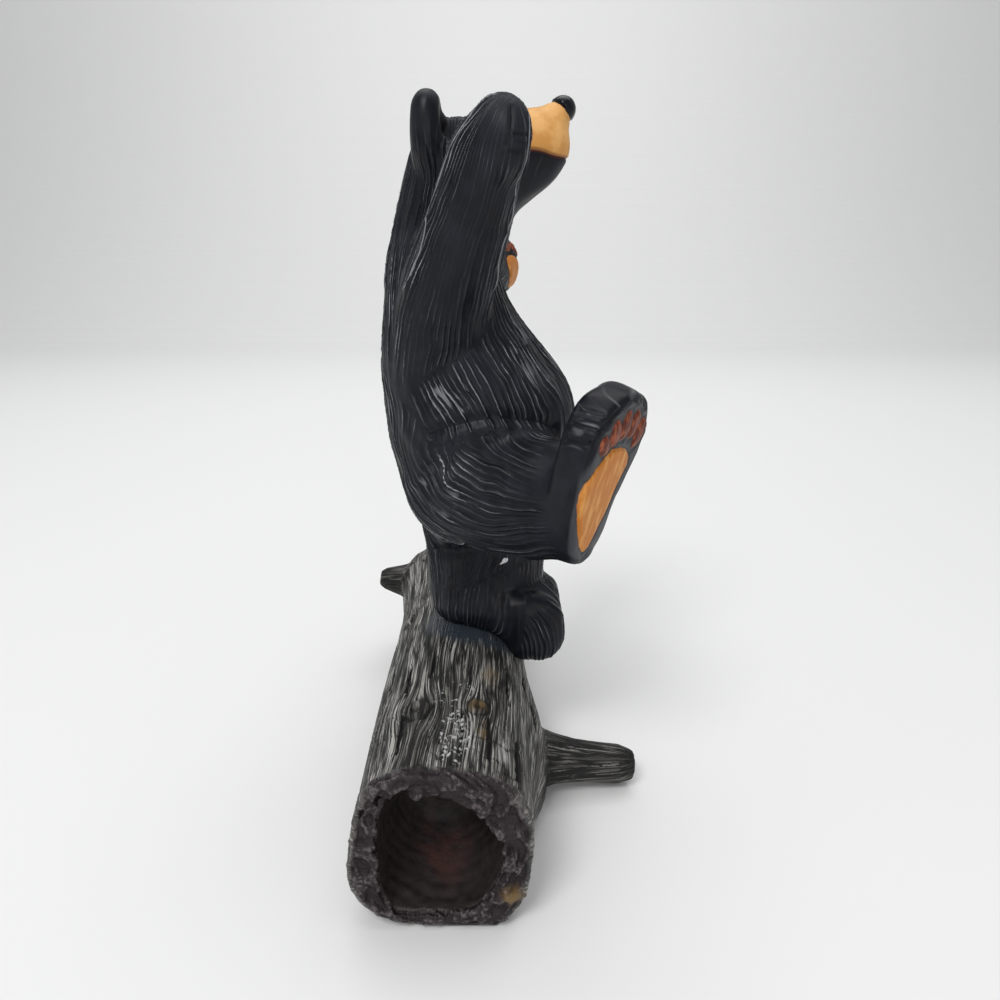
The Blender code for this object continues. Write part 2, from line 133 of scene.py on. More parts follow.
def cell_borders(around: np.ndarray, along: np.ndarray, count: int, seed: int) -> tuple:
    """Uneven cells, one to each unit, that close up round a limb.

    Args:
        around: Place across the cells; it repeats after count units.
        along: Place along the cells.
        count: How many cells go round.
        seed: Which cells to take.

    Returns:
        For each point, how far it is from its cell's border, and the cell's own number, 0 to 1.
    """
    column, row = np.floor(around), np.floor(along)
    first = np.full(len(around), 9.0)
    second = first.copy()
    own = np.zeros(len(around))
    for step_column in (-1, 0, 1):
        for step_row in (-1, 0, 1):
            cell = np.stack([(column + step_column) % count, row + step_row], axis=1)
            chance = hashed(cell, seed)
            aside = column + step_column + 0.1 + 0.8 * chance - around
            ahead = row + step_row + hashed(cell, seed + 1) - along
            gap = np.sqrt(aside * aside + ahead * ahead)
            closer = gap < first
            second = np.where(closer, first, np.minimum(second, gap))
            own = np.where(closer, chance, own)
            first = np.where(closer, gap, first)
    return second - first, own


class Surface:
    """A casting's points and normals as arrays, while it's being carved."""

    def __init__(self, data: bpy.types.Mesh) -> None:
        """Reads a mesh.

        Args:
            data: The mesh, in metres.
        """
        self.data = data
        count = 3 * len(data.vertices)
        places, normals = np.empty(count), np.empty(count)
        data.vertices.foreach_get("co", places)
        data.vertices.foreach_get("normal", normals)
        self.places = places.reshape(-1, 3) / MILLIMETRE
        self.normals = normals.reshape(-1, 3)

    def lift(self, height: np.ndarray) -> None:
        """Moves every point along its normal.

        Args:
            height: Millimetres outwards for each point.
        """
        self.places = self.places + self.normals * height[:, None]
        self.write()

    def write(self) -> None:
        """Puts the places back in the mesh and reads the normals again."""
        self.data.vertices.foreach_set("co", (self.places * MILLIMETRE).ravel())
        self.data.update()
        normals = np.empty(3 * len(self.data.vertices))
        self.data.vertices.foreach_get("normal", normals)
        self.normals = normals.reshape(-1, 3)

    def keep(self, name: str, values: np.ndarray) -> None:
        """Stores a number or a vector for each point, for the paint to read.

        Args:
            name: The attribute's name.
            values: One number, or one row of three, for each point.
        """
        kind, field = ("FLOAT", "value") if values.ndim == 1 else ("FLOAT_VECTOR", "vector")
        layer = self.data.attributes.new(name, kind, "POINT")
        layer.data.foreach_set(field, values.astype(np.float32).ravel())


def smooth_path(stations: tuple, pieces: int = 6) -> np.ndarray:
    """Runs a smooth line through places.

    Args:
        stations: Rows of numbers.
        pieces: Pieces from each row to the next.

    Returns:
        The line's rows.
    """
    rows = np.array(stations, dtype=float)
    rows = np.vstack([2 * rows[0] - rows[1], rows, 2 * rows[-1] - rows[-2]])
    line = []
    for before, here, there, after in zip(rows, rows[1:], rows[2:], rows[3:]):
        for step in range(pieces):
            t = step / pieces
            line.append(0.5 * (
                2 * here + (there - before) * t
                + (2 * before - 5 * here + 4 * there - after) * t * t
                + (3 * here - before - 3 * there + after) * t**3
            ))
    line.append(rows[-2])
    return np.array(line)


@dataclass(frozen=True)
class Course:
    """The way the carved fur runs along one limb.

    Its stations are places along the limb's middle, each with the limb's radius there.
    """

    stations: tuple
    strokes: int
    stroke: float
    depth: float
    seed: int
    drift: float = 0.0
    drift_place: float = 0.0
    front: tuple = (1.0, 0.0, 0.0)
    spiral: float = 0.0

    def locate(self, points: np.ndarray) -> tuple:
        """Finds where points lie on the limb.

        Args:
            points: Places, one row each.

        Returns:
            How near each is, in limb radii; the angle round the limb; the way along it.
        """
        line = smooth_path(self.stations)
        steps = np.diff(line[:, :3], axis=0)
        tangents = np.gradient(line[:, :3], axis=0)
        tangents /= np.linalg.norm(tangents, axis=1)[:, None]
        forward = np.array(self.front)
        frames = []
        for tangent in tangents:
            forward = forward - tangent * (forward @ tangent)
            forward = forward / np.linalg.norm(forward)
            frames.append((forward, np.cross(tangent, forward)))
        nearest = np.full(len(points), np.inf)
        near, angle, along = np.zeros((3, len(points)))
        walked = 0.0
        last = len(steps) - 1
        for number, (here, there, step) in enumerate(zip(line, line[1:], steps)):
            length = float(np.linalg.norm(step))
            away = points - here[:3]
            walk = away @ (step / length)
            share = np.clip(walk / length, 0.0, 1.0)
            away = away - np.outer(share, step)
            gap = np.linalg.norm(away, axis=1)
            closer = np.flatnonzero(gap < nearest)
            nearest[closer] = gap[closer]
            away, part = away[closer], share[closer][:, None]
            near[closer] = gap[closer] / (here[3] + part[:, 0] * (there[3] - here[3]))
            ahead, aside = (
                (away * (first + part * (second - first))).sum(axis=1)
                for first, second in zip(frames[number], frames[number + 1])
            )
            angle[closer] = np.arctan2(aside, ahead)
            low = -np.inf if number == 0 else 0.0
            high = np.inf if number == last else length
            along[closer] = walked + np.clip(walk[closer], low, high)
            walked += length
        return near, angle, along

    def comb(self, points: np.ndarray) -> tuple:
        """Lays the carved strokes along the limb: sharp ridges with wide troughs between.

        Args:
            points: Places, one row each.

        Returns:
            How near each point is, its place across a stroke (0 on a ridge to 1 in a trough), how
            strong the ridge is, the trough's own level, and coordinates that flow with the limb.
        """
        near, angle, along = self.locate(points)
        bend = np.tanh((along - self.drift_place) / DRIFT_SPAN)
        wander = 1.1 * soft_noise(points / 13.0, self.seed)
        wander += 0.35 * soft_noise(points / 5.0, self.seed + 5)
        turned = angle - bend * (self.drift * np.sin(angle) + self.spiral)
        turned += wander * 2 * math.pi / self.strokes
        phase = turned / (2 * math.pi) * self.strokes
        lane = np.round(phase)
        off = 2.0 * np.abs(phase - lane)
        lane = lane % self.strokes
        start = 9.0 * hashed(np.stack([lane, lane], axis=1), self.seed)
        ridge = soft_noise(np.stack([lane, along / self.stroke + start], axis=1), self.seed + 1)
        trough = hashed(np.stack([np.floor(phase) % self.strokes, 0 * lane], axis=1), self.seed + 2)
        reach = self.strokes * STROKE_FLOW / (2 * math.pi)
        flow = np.stack([reach * np.cos(turned), reach * np.sin(turned), along], axis=1)
        return near, off, fade(ridge, -0.45, 0.35), trough - 0.5, flow


@dataclass(frozen=True)
class Line:
    """A crease or a ridge that runs through places on a casting.

    A height below zero cuts a crease, and one above zero raises a ridge.
    """

    places: tuple
    width: float
    height: float

    def laid(self, surface: Surface) -> tuple:
        """Lays the line on the surface.

        Args:
            surface: The casting.

        Returns:
            For each point: millimetres from the line, below zero on its one side; and how much of
            the line is left there, which fades at its two ends and 6 mm away.
        """
        path = smooth_path(self.places)
        signed = np.full(len(surface.places), 9.0)
        kept = np.zeros(len(surface.places))
        low, high = path.min(axis=0) - LINE_REACH, path.max(axis=0) + LINE_REACH
        found = np.flatnonzero(((surface.places > low) & (surface.places < high)).all(axis=1))
        points, normals = surface.places[found], surface.normals[found]
        for number, place in enumerate(path):
            nearest = np.argmin(((points - place) ** 2).sum(axis=1))
            path[number] = place - normals[nearest] * ((place - points[nearest]) @ normals[nearest])
        gap = np.full(len(found), LINE_REACH)
        side = np.ones(len(found))
        share_along = np.zeros(len(found))
        for number, (here, there) in enumerate(zip(path, path[1:])):
            step = there - here
            share = np.clip((points - here) @ step / (step @ step), 0.0, 1.0)
            away = points - here - share[:, None] * step
            length = np.linalg.norm(away, axis=1)
            closer = length < gap
            gap = np.where(closer, length, gap)
            turn = (away * np.cross(step, normals)).sum(axis=1)
            side = np.where(closer, np.where(turn < 0, -1.0, 1.0), side)
            share_along = np.where(closer, (number + share) / (len(path) - 1), share_along)
        ends = fade(share_along, 0.0, 0.06) * fade(share_along, 1.0, 0.94)
        signed[found] = gap * side
        kept[found] = ends * fade(gap, LINE_REACH, 2.0)
        return signed, kept

    def carved(self, height: np.ndarray, laid: tuple) -> np.ndarray:
        """Adds the line to a casting's relief.

        Args:
            height: The relief so far, in millimetres.
            laid: What the line's laid method gave.

        Returns:
            The relief with the line in it.
        """
        gap, kept = laid
        return height + self.height * kept * np.exp(-((gap / self.width) ** 2))


@dataclass(frozen=True)
class Patch:
    """A stretched round region of a casting, with a soft rim.

    The value is 1 inside and 0 outside; soft is the rim's share of the reach.
    """

    centre: tuple
    reach: tuple
    soft: float = 0.4

    def inside(self, points: np.ndarray) -> np.ndarray:
        """How far inside the region each point is, from 0 to 1."""
        away = np.linalg.norm((points - np.array(self.centre)) / np.array(self.reach), axis=1)
        return 1.0 - fade(away, 1.0 - self.soft, 1.0)


@dataclass(frozen=True)
class Outline:
    """A closed outline on a flat face, as a row of corners in its own two axes."""

    corners: tuple

    def depth(self, flat: np.ndarray) -> np.ndarray:
        """How deep inside the outline points are.

        Args:
            flat: Places on the face, one row of two numbers each.

        Returns:
            Millimetres from the outline, below zero outside.
        """
        corners = np.array(self.corners, dtype=float)
        nearest = np.full(len(flat), np.inf)
        crossings = np.zeros(len(flat), dtype=int)
        for here, there in zip(corners, np.roll(corners, -1, axis=0)):
            step = there - here
            share = np.clip((flat - here) @ step / (step @ step), 0.0, 1.0)
            gap = np.linalg.norm(flat - here - share[:, None] * step, axis=1)
            nearest = np.minimum(nearest, gap)
            rises = (here[1] > flat[:, 1]) != (there[1] > flat[:, 1])
            with np.errstate(divide="ignore", invalid="ignore"):
                cross = here[0] + (flat[:, 1] - here[1]) * step[0] / step[1]
            crossings += rises & (flat[:, 0] < cross)
        return np.where(crossings % 2 == 1, nearest, -nearest)


@dataclass(frozen=True)
class FlatFace:
    """A flat face of a paw: its middle, and the ways to the toes, across and out of the face."""

    centre: tuple
    toes: tuple
    across: tuple
    outward: tuple

    @classmethod
    def palm(cls, centre: tuple, turn: tuple) -> "FlatFace":
        """A palm that faces along X before it's turned.

        Args:
            centre: Its middle.
            turn: Degrees about X, Y and Z.

        Returns:
            The palm.
        """
        axes = Euler([math.radians(angle) for angle in turn]).to_matrix()
        outward, across, toes = (tuple(column) for column in axes.transposed())
        return cls(centre, toes, across, outward)

    def flat(self, points: np.ndarray) -> np.ndarray:
        """Places in the face's own axes, one row of three numbers each."""
        axes = np.array([self.toes, self.across, self.outward])
        return (points - np.array(self.centre)) @ axes.T


class Shade(Enum):
    """The colours of the two castings, as red, green and blue."""

    # The black paint, also painted into the creases as painted shade
    BLACK = (0.0052, 0.0056, 0.0088)
    SMOKE = (0.0105, 0.0118, 0.0180)
    # Pale dry brush, also used for painted highlights on crests and faces
    DRY_BRUSH = (0.44, 0.455, 0.48)
    SOLE_GREY = (0.050, 0.053, 0.060)
    TAN = (0.60, 0.285, 0.075)
    PALE_TAN = (0.76, 0.42, 0.150)
    PAD = (0.54, 0.190, 0.030)
    PAD_STREAK = (0.70, 0.33, 0.090)
    RED_BROWN = (0.105, 0.024, 0.013)
    PALE_RED_BROWN = (0.32, 0.085, 0.038)
    CHIP = (0.80, 0.80, 0.79)
    GROOVE = (0.0048, 0.0046, 0.0048)
    WOOD = (0.074, 0.070, 0.064)
    PALE_WOOD = (0.47, 0.46, 0.43)
    CRUST = (0.52, 0.53, 0.52)
    OCHRE = (0.215, 0.136, 0.050)
    # Blue-grey of the patch under the foot, lightened into a painted highlight
    SLATE = (0.040, 0.051, 0.066)
    RIM_BROWN = (0.0180, 0.0120, 0.0145)
    # Pale rim colour: a painted highlight on the crests
    RIM_PALE = (0.105, 0.086, 0.092)
    BOWL_BROWN = (0.066, 0.053, 0.052)
    HEART = (0.082, 0.037, 0.031)


class NodeBoard:
    """A small helper that lays out a material's nodes."""

    def __init__(self, name: str) -> None:
        """Starts a material.

        Args:
            name: The material's name.
        """
        self.material = bpy.data.materials.new(name)
        self.material.use_nodes = True
        self.tree = self.material.node_tree
        self.shader = self.tree.nodes["Principled BSDF"]

    def link(self, source: object, socket: object) -> None:
        """Links an output to an input, or sets the input to a plain value."""
        if isinstance(source, bpy.types.NodeSocket):
            self.tree.links.new(source, socket)
        elif socket.type == "RGBA" and isinstance(source, Shade):
            socket.default_value = (*source.value, 1.0)
        else:
            socket.default_value = source

    def attribute(self, name: str, vector: bool = False) -> bpy.types.NodeSocket:
        """Reads one of the casting's stored values."""
        node = self.tree.nodes.new("ShaderNodeAttribute")
        node.attribute_name = name
        return node.outputs["Vector" if vector else "Fac"]

    def place(self) -> bpy.types.NodeSocket:
        """The point's place, in metres."""
        return self.tree.nodes.new("ShaderNodeTexCoord").outputs["Object"]

    def stretch(self, vector: bpy.types.NodeSocket, scale: tuple) -> bpy.types.NodeSocket:
        """Scales a coordinate by a different factor on each axis."""
        node = self.tree.nodes.new("ShaderNodeVectorMath")
        node.operation = "MULTIPLY"
        self.link(vector, node.inputs[0])
        node.inputs[1].default_value = scale
        return node.outputs["Vector"]

    def noise(
        self, vector: object, scale: float, detail: float = 3.0, warp: float = 0.0,
    ) -> bpy.types.NodeSocket:
        """Cloudy noise.

        Args:
            vector: The coordinate that it reads.
            scale: Swells per unit.
            detail: Layers of finer noise.
            warp: How much it's distorted.

        Returns:
            The noise, about 0.3 to 0.7.
        """
        node = self.tree.nodes.new("ShaderNodeTexNoise")
        self.link(vector, node.inputs["Vector"])
        node.inputs["Scale"].default_value = scale
        node.inputs["Detail"].default_value = detail
        node.inputs["Distortion"].default_value = warp
        return node.outputs["Fac"]

    def ramp(self, value: object, low: float, high: float) -> bpy.types.NodeSocket:
        """Turns a value into 0 at low and 1 at high."""
        node = self.tree.nodes.new("ShaderNodeMapRange")
        node.interpolation_type = "SMOOTHSTEP"
        self.link(value, node.inputs["Value"])
        node.inputs["From Min"].default_value = low
        node.inputs["From Max"].default_value = high
        return node.outputs["Result"]

    def maths(
        self, operation: str, first: object, second: object = 0.0, clamp: bool = True,
    ) -> bpy.types.NodeSocket:
        """Works out first and second with one of the Math node's operations.

        Args:
            operation: The Math node's operation.
            first: Its first value.
            second: Its second value.
            clamp: Whether the result is kept from 0 to 1.

        Returns:
            The result.
        """
        node = self.tree.nodes.new("ShaderNodeMath")
        node.operation = operation
        node.use_clamp = clamp
        self.link(first, node.inputs[0])
        self.link(second, node.inputs[1])
        return node.outputs["Value"]

    def distance(self, first: object, second: float) -> bpy.types.NodeSocket:
        """How far apart two numbers are."""
        return self.maths("ABSOLUTE", self.maths("SUBTRACT", first, second, False), 0.0, False)

    def rest(self, share: object) -> bpy.types.NodeSocket:
        """What a share from 0 to 1 leaves of 1."""
        return self.maths("SUBTRACT", 1.0, share)

    def product(self, *factors: object) -> bpy.types.NodeSocket:
        """Multiplies values from 0 to 1."""
        result = factors[0]
        for factor in factors[1:]:
            result = self.maths("MULTIPLY", result, factor)
        return result

    def parts(self, vector: bpy.types.NodeSocket) -> tuple:
        """Takes a vector apart."""
        node = self.tree.nodes.new("ShaderNodeSeparateXYZ")
        self.link(vector, node.inputs[0])
        return tuple(node.outputs)

    def stroke_place(self, flow: bpy.types.NodeSocket) -> bpy.types.NodeSocket:
        """The place across a carved stroke, from flow coordinates: 0 on its ridge, 1 in a trough."""
        x, y, _ = self.parts(flow)
        squares = [self.maths("MULTIPLY", part, part, False) for part in (x, y)]
        reach = self.maths("SQRT", self.maths("ADD", *squares, False), 0.0, False)
        round_limb = self.maths("MULTIPLY", reach, 2 * math.pi / STROKE_FLOW, False)
        strokes = self.maths("ROUND", round_limb, 0.0, False)
        turn = self.maths("MULTIPLY", self.maths("ARCTAN2", y, x, False), 1 / (2 * math.pi), False)
        phase = self.maths("MULTIPLY", turn, strokes, False)
        return self.maths("MULTIPLY", self.maths("PINGPONG", phase, 0.5, False), 2.0)

    def line(self, name: str, width: float) -> bpy.types.NodeSocket:
        """A crisp line from a stored distance.

        Args:
            name: The attribute that holds the distance and how much of the line is left.
            width: Half the line's width, in the distance's own units.

        Returns:
            1 on the line, 0 away from it.
        """
        signed, kept, _ = self.parts(self.attribute(name, vector=True))
        near = self.ramp(self.distance(signed, 0.0), width, 0.3 * width)
        return self.product(near, self.ramp(kept, 0.1, 0.6))

    def mix(self, share: object, under: object, over: object) -> bpy.types.NodeSocket:
        """Lays one colour over another, as much as share says."""
        node = self.tree.nodes.new("ShaderNodeMix")
        node.data_type = "RGBA"
        self.link(share, node.inputs[0])
        self.link(under, node.inputs[6])
        self.link(over, node.inputs[7])
        return node.outputs[2]

    def blend(self, share: object, under: object, over: object) -> bpy.types.NodeSocket:
        """Mixes two numbers."""
        node = self.tree.nodes.new("ShaderNodeMix")
        self.link(share, node.inputs[0])
        self.link(under, node.inputs[2])
        self.link(over, node.inputs[3])
        return node.outputs[0]

    def bump(
        self, height: object, strength: float, distance: float, below: object = None,
    ) -> bpy.types.NodeSocket:
        """Fine relief.

        Args:
            height: The relief's height, 0 to 1.
            strength: Its strength, 0 to 1.
            distance: Its full height in metres.
            below: A relief that it lies on.

        Returns:
            The bent normal.
        """
        node = self.tree.nodes.new("ShaderNodeBump")
        node.inputs["Strength"].default_value = strength
        node.inputs["Distance"].default_value = distance
        self.link(height, node.inputs["Height"])
        if below is not None:
            self.link(below, node.inputs["Normal"])
        return node.outputs["Normal"]


@dataclass(frozen=True)
class FurFinish:
    """Satin black paint over carved fur, dry-brushed on its ridges, with painted highlights and shade, and
    painted paws and face.
    """

    roughness: float = 0.40
    ridge: float = 0.27

    def paint(self) -> bpy.types.Material:
        """Makes the paint.

        Returns:
            The material.
        """
        board = NodeBoard("black_fur_paint")
        flow = board.attribute("flow", vector=True)
        strength, hairiness, brush = board.parts(board.attribute("lay", vector=True))
        place = board.place()
        hairs = board.noise(board.stretch(flow, (1.1, 1.1, 0.13)), 1.0, 3.0)
        cloud = board.noise(place, 130.0, 3.0)
        off = board.stroke_place(flow)

        colour = board.mix(board.ramp(cloud, 0.42, 0.66), Shade.BLACK, Shade.SMOKE)
        ridge = board.product(board.ramp(off, self.ridge, 0.04), strength)
        patchy = board.blend(board.ramp(board.noise(place, 75.0, 3.0), 0.38, 0.60), 0.30, 1.0)
        # Pale dry brush on the stroke ridges, with painted highlights where the brush amount is raised
        dry_brush_and_highlight = board.product(ridge, brush, patchy, board.ramp(hairs, 0.34, 0.56))
        # Pale streaks where the brush amount passes 0.95: the thigh and rump brushing and the painted
        # highlights on the flank and foot
        streak = board.product(board.ramp(hairs, 0.50, 0.64), board.ramp(brush, 0.95, 1.30), 0.40)
        dry_brush_and_highlight = board.maths("MAXIMUM", dry_brush_and_highlight, streak)
        # A thin painted highlight along the crests
        dry_brush_and_highlight = board.maths("MAXIMUM", dry_brush_and_highlight, board.product(board.line("light", 0.28), 0.5))
        colour = board.mix(dry_brush_and_highlight, colour, Shade.DRY_BRUSH)
        # Painted shade: pure black along the carved creases
        colour = board.mix(board.line("dark", 0.55), colour, Shade.BLACK)
        gloss = board.blend(board.ramp(cloud, 0.35, 0.65), self.roughness - 0.05, self.roughness + 0.08)

        tan = board.mix(board.ramp(board.noise(place, 170.0, 3.0), 0.38, 0.66), Shade.TAN, Shade.PALE_TAN)
        streaks = board.noise(board.stretch(flow, (0.55, 0.55, 0.10)), 1.0, 4.0)
        pad = board.mix(board.ramp(streaks, 0.46, 0.66), Shade.PAD, Shade.PAD_STREAK)
        fine = board.noise(board.stretch(flow, (1.3, 1.3, 0.30)), 1.0, 3.0)
        berry = board.mix(board.ramp(fine, 0.46, 0.62), Shade.RED_BROWN, Shade.PALE_RED_BROWN)
        for zone, layer, shine, soft in (
            ("sole_face", Shade.SOLE_GREY, 0.42, 0.5), ("muzzle", tan, 0.50, 0.12),
            ("pads", pad, 0.48, 0.12), ("toe_pads", berry, 0.44, 0.12),
            ("gloss", Shade.BLACK, 0.15, 0.12), ("chip", Shade.CHIP, 0.70, 0.12),
        ):
            inside = board.ramp(board.attribute(zone), -soft, soft)
            colour = board.mix(inside, colour, layer)
            gloss = board.blend(inside, gloss, shine)
        rim = board.distance(board.attribute("muzzle"), 0.1)
        colour = board.mix(board.product(board.ramp(rim, 0.9, 0.1), 0.6), colour, Shade.RED_BROWN)
        board.link(colour, board.shader.inputs["Base Color"])
        board.link(gloss, board.shader.inputs["Roughness"])
        cusp = board.maths("POWER", board.rest(off), 2.0)
        cusp = board.product(cusp, strength, hairiness)
        relief = board.bump(cusp, 0.8, 0.00028)
        height = board.product(hairs, hairiness)
        board.link(board.bump(height, 0.35, 0.0002, relief), board.shader.inputs["Normal"])
        board.shader.inputs["Specular IOR Level"].default_value = 0.20
        return board.material


@dataclass(frozen=True)
class WoodFinish:
    """Dark wash in the grain of weathered wood, with pale dry brushing on top, and painted highlights on
    the rims and the blue-grey patch.
    """

    roughness: float = 0.60

    def grooves(
        self, board: NodeBoard, flow: bpy.types.NodeSocket, scale: tuple, width: float,
    ) -> bpy.types.NodeSocket:
        """Thin dark lines that run with the grain.

        Args:
            board: The material's nodes.
            flow: Coordinates that follow the grain, in millimetres.
            scale: Swells per millimetre across, through and along the grain.
            width: Half a groove's width, as a share of the noise.

        Returns:
            1 in a groove, 0 on the wood.
        """
        cloud = board.noise(board.stretch(flow, scale), 1.0, 1.0, 0.1)
        return board.ramp(board.distance(cloud, 0.5), width, 0.2 * width)

    def paint(self) -> bpy.types.Material:
        """Makes the paint.

        Returns:
            The material.
        """
        board = NodeBoard("weathered_wood_paint")
        place = board.place()
        flow = board.attribute("flow", vector=True)
        height = board.attribute("height")
        streaks = board.noise(board.stretch(flow, (3.9, 3.9, 0.070)), 1.0, 4.0)
        broad = board.noise(board.stretch(flow, (0.20, 0.20, 0.07)), 1.0, 3.0)
        cloud = board.noise(place, 160.0, 4.0)
        speck = board.noise(place, 1100.0, 5.0)
        bare = board.maths("MAXIMUM", board.attribute("rim"), board.attribute("hollow"))
        fine = self.grooves(board, flow, (1.60, 1.60, 0.036), 0.080)
        long = self.grooves(board, flow, (0.50, 0.50, 0.016), 0.060)
        groove = board.product(board.maths("MAXIMUM", fine, long), board.rest(bare))
        groove = board.maths("MAXIMUM", groove, board.line("crack", 0.55))

        colour = board.mix(board.ramp(height, -0.10, 0.50), Shade.GROOVE, Shade.WOOD)
        high = board.product(
            board.ramp(height, 0.0, 0.9), board.ramp(streaks, 0.46, 0.55), board.ramp(broad, 0.24, 0.54),
        )
        colour = board.mix(high, colour, Shade.PALE_WOOD)
        ochre = board.product(
            board.attribute("ochre"), board.ramp(cloud, 0.34, 0.52), board.ramp(height, -0.2, 0.5),
        )
        colour = board.mix(board.product(groove, 0.95), colour, Shade.GROOVE)
        colour = board.mix(board.product(ochre, 0.52), colour, Shade.OCHRE)
        # Blue-grey patch where the foot meets the log, its paint lightened into a painted highlight
        slate = board.product(board.attribute("slate"), board.ramp(cloud, 0.30, 0.50))
        colour = board.mix(slate, colour, Shade.SLATE)
        # Painted highlights: pale specks on the rims' high crests, over dark brown
        rim_crest_highlight = board.product(board.ramp(speck, 0.46, 0.62), board.ramp(height, 0.55, 0.95))
        rim = board.mix(rim_crest_highlight, Shade.RIM_BROWN, Shade.RIM_PALE)
        colour = board.mix(board.attribute("rim"), colour, rim)
        bowl = board.mix(board.ramp(height, 0.1, 0.9), Shade.GROOVE, Shade.BOWL_BROWN)
        colour = board.mix(board.attribute("hollow"), colour, bowl)
        heart = board.product(
            board.attribute("heart"), board.ramp(cloud, 0.36, 0.60), board.ramp(height, 0.1, 0.7),
        )
        colour = board.mix(heart, colour, Shade.HEART)
        colour = board.mix(board.product(ochre, board.attribute("rim"), 0.7), colour, Shade.OCHRE)
        broken = board.ramp(board.noise(place, 800.0, 3.0), 0.42, 0.56)
        white = board.product(board.ramp(board.attribute("crust"), 0.34, 0.80), broken)
        colour = board.mix(white, colour, Shade.CRUST)
        board.link(colour, board.shader.inputs["Base Color"])
        gloss = board.blend(bare, self.roughness, 0.34)
        gloss = board.blend(slate, gloss, 0.24)
        board.link(gloss, board.shader.inputs["Roughness"])
        relief = board.bump(board.rest(groove), 0.7, 0.00030)
        grit = board.product(speck, board.blend(board.attribute("rim"), 0.40, 1.0))
        relief = board.bump(grit, 0.65, 0.00080, relief)
        board.link(board.bump(streaks, 0.4, 0.00018, relief), board.shader.inputs["Normal"])
        sheen = board.blend(board.attribute("hollow"), 0.28, 0.10)
        board.link(sheen, board.shader.inputs["Specular IOR Level"])
        return board.material


@dataclass
class Casting:
    """What the two castings share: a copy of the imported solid, made fine enough to carve."""

    node: str
    slot: str
    voxel: float
    rounding: int
    smoothing: int
    triangles: int

    def clay(self, extra: bmesh.types.BMesh) -> bpy.types.Mesh:
        """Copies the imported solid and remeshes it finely.

        Args:
            extra: Closed shapes in millimetres that are run together with it.

        Returns:
            The fine mesh.
        """
        mesh = bmesh.new()
        mesh.from_mesh(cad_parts[self.node].data)
        bmesh.ops.remove_doubles(mesh, verts=mesh.verts, dist=WELD_DISTANCE)
        data = bpy.data.meshes.new(self.node + "_clay")
        mesh.to_mesh(data)
        mesh.free()
        heap = bpy.data.objects.new(data.name, data)
        bpy.context.scene.collection.objects.link(heap)
        if self.rounding:
            rounder = heap.modifiers.new("Rounder", "SUBSURF")
            rounder.levels = self.rounding
            rounder.render_levels = self.rounding
        whole = bmesh.new()
        whole.from_mesh(self.settled(heap))
        bmesh.ops.scale(extra, vec=(MILLIMETRE,) * 3, verts=extra.verts)
        added = bpy.data.meshes.new("added")
        extra.to_mesh(added)
        extra.free()
        whole.from_mesh(added)
        heap.modifiers.clear()
        whole.to_mesh(heap.data)
        whole.free()
        fused = heap.modifiers.new("Run together", "REMESH")
        fused.mode = "VOXEL"
        fused.voxel_size = self.voxel * MILLIMETRE
        smooth = heap.modifiers.new("Smooth", "SMOOTH")
        smooth.iterations = self.smoothing
        made = self.settled(heap)
        bpy.data.objects.remove(heap)
        return made

    def settled(self, item: bpy.types.Object) -> bpy.types.Mesh:
        """The object's mesh with its modifiers worked in."""
        bpy.context.view_layer.update()
        seen = item.evaluated_get(bpy.context.evaluated_depsgraph_get())
        return bpy.data.meshes.new_from_object(seen)

    def finished(self, name: str, surface: Surface, material: bpy.types.Material) -> bpy.types.Object:
        """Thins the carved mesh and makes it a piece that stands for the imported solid.

        Args:
            name: The piece's name.
            surface: The carved casting.
            material: Its paint.

        Returns:
            The piece.
        """
        item = bpy.data.objects.new(name, surface.data)
        bpy.context.scene.collection.objects.link(item)
        sides = len(surface.data.loops) - 2 * len(surface.data.polygons)
        if sides > self.triangles:
            fewer = item.modifiers.new("Fewer faces", "DECIMATE")
            fewer.ratio = self.triangles / sides
            item.data = self.settled(item)
            item.modifiers.clear()
        item.data.shade_smooth()
        item.data.materials.clear()
        item.data.materials.append(material)
        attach(item, "root")
        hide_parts(self.node)
        item.data.calc_loop_triangles()
        REPORT.info("%s: %d triangles", name, len(item.data.loop_triangles))
        return item


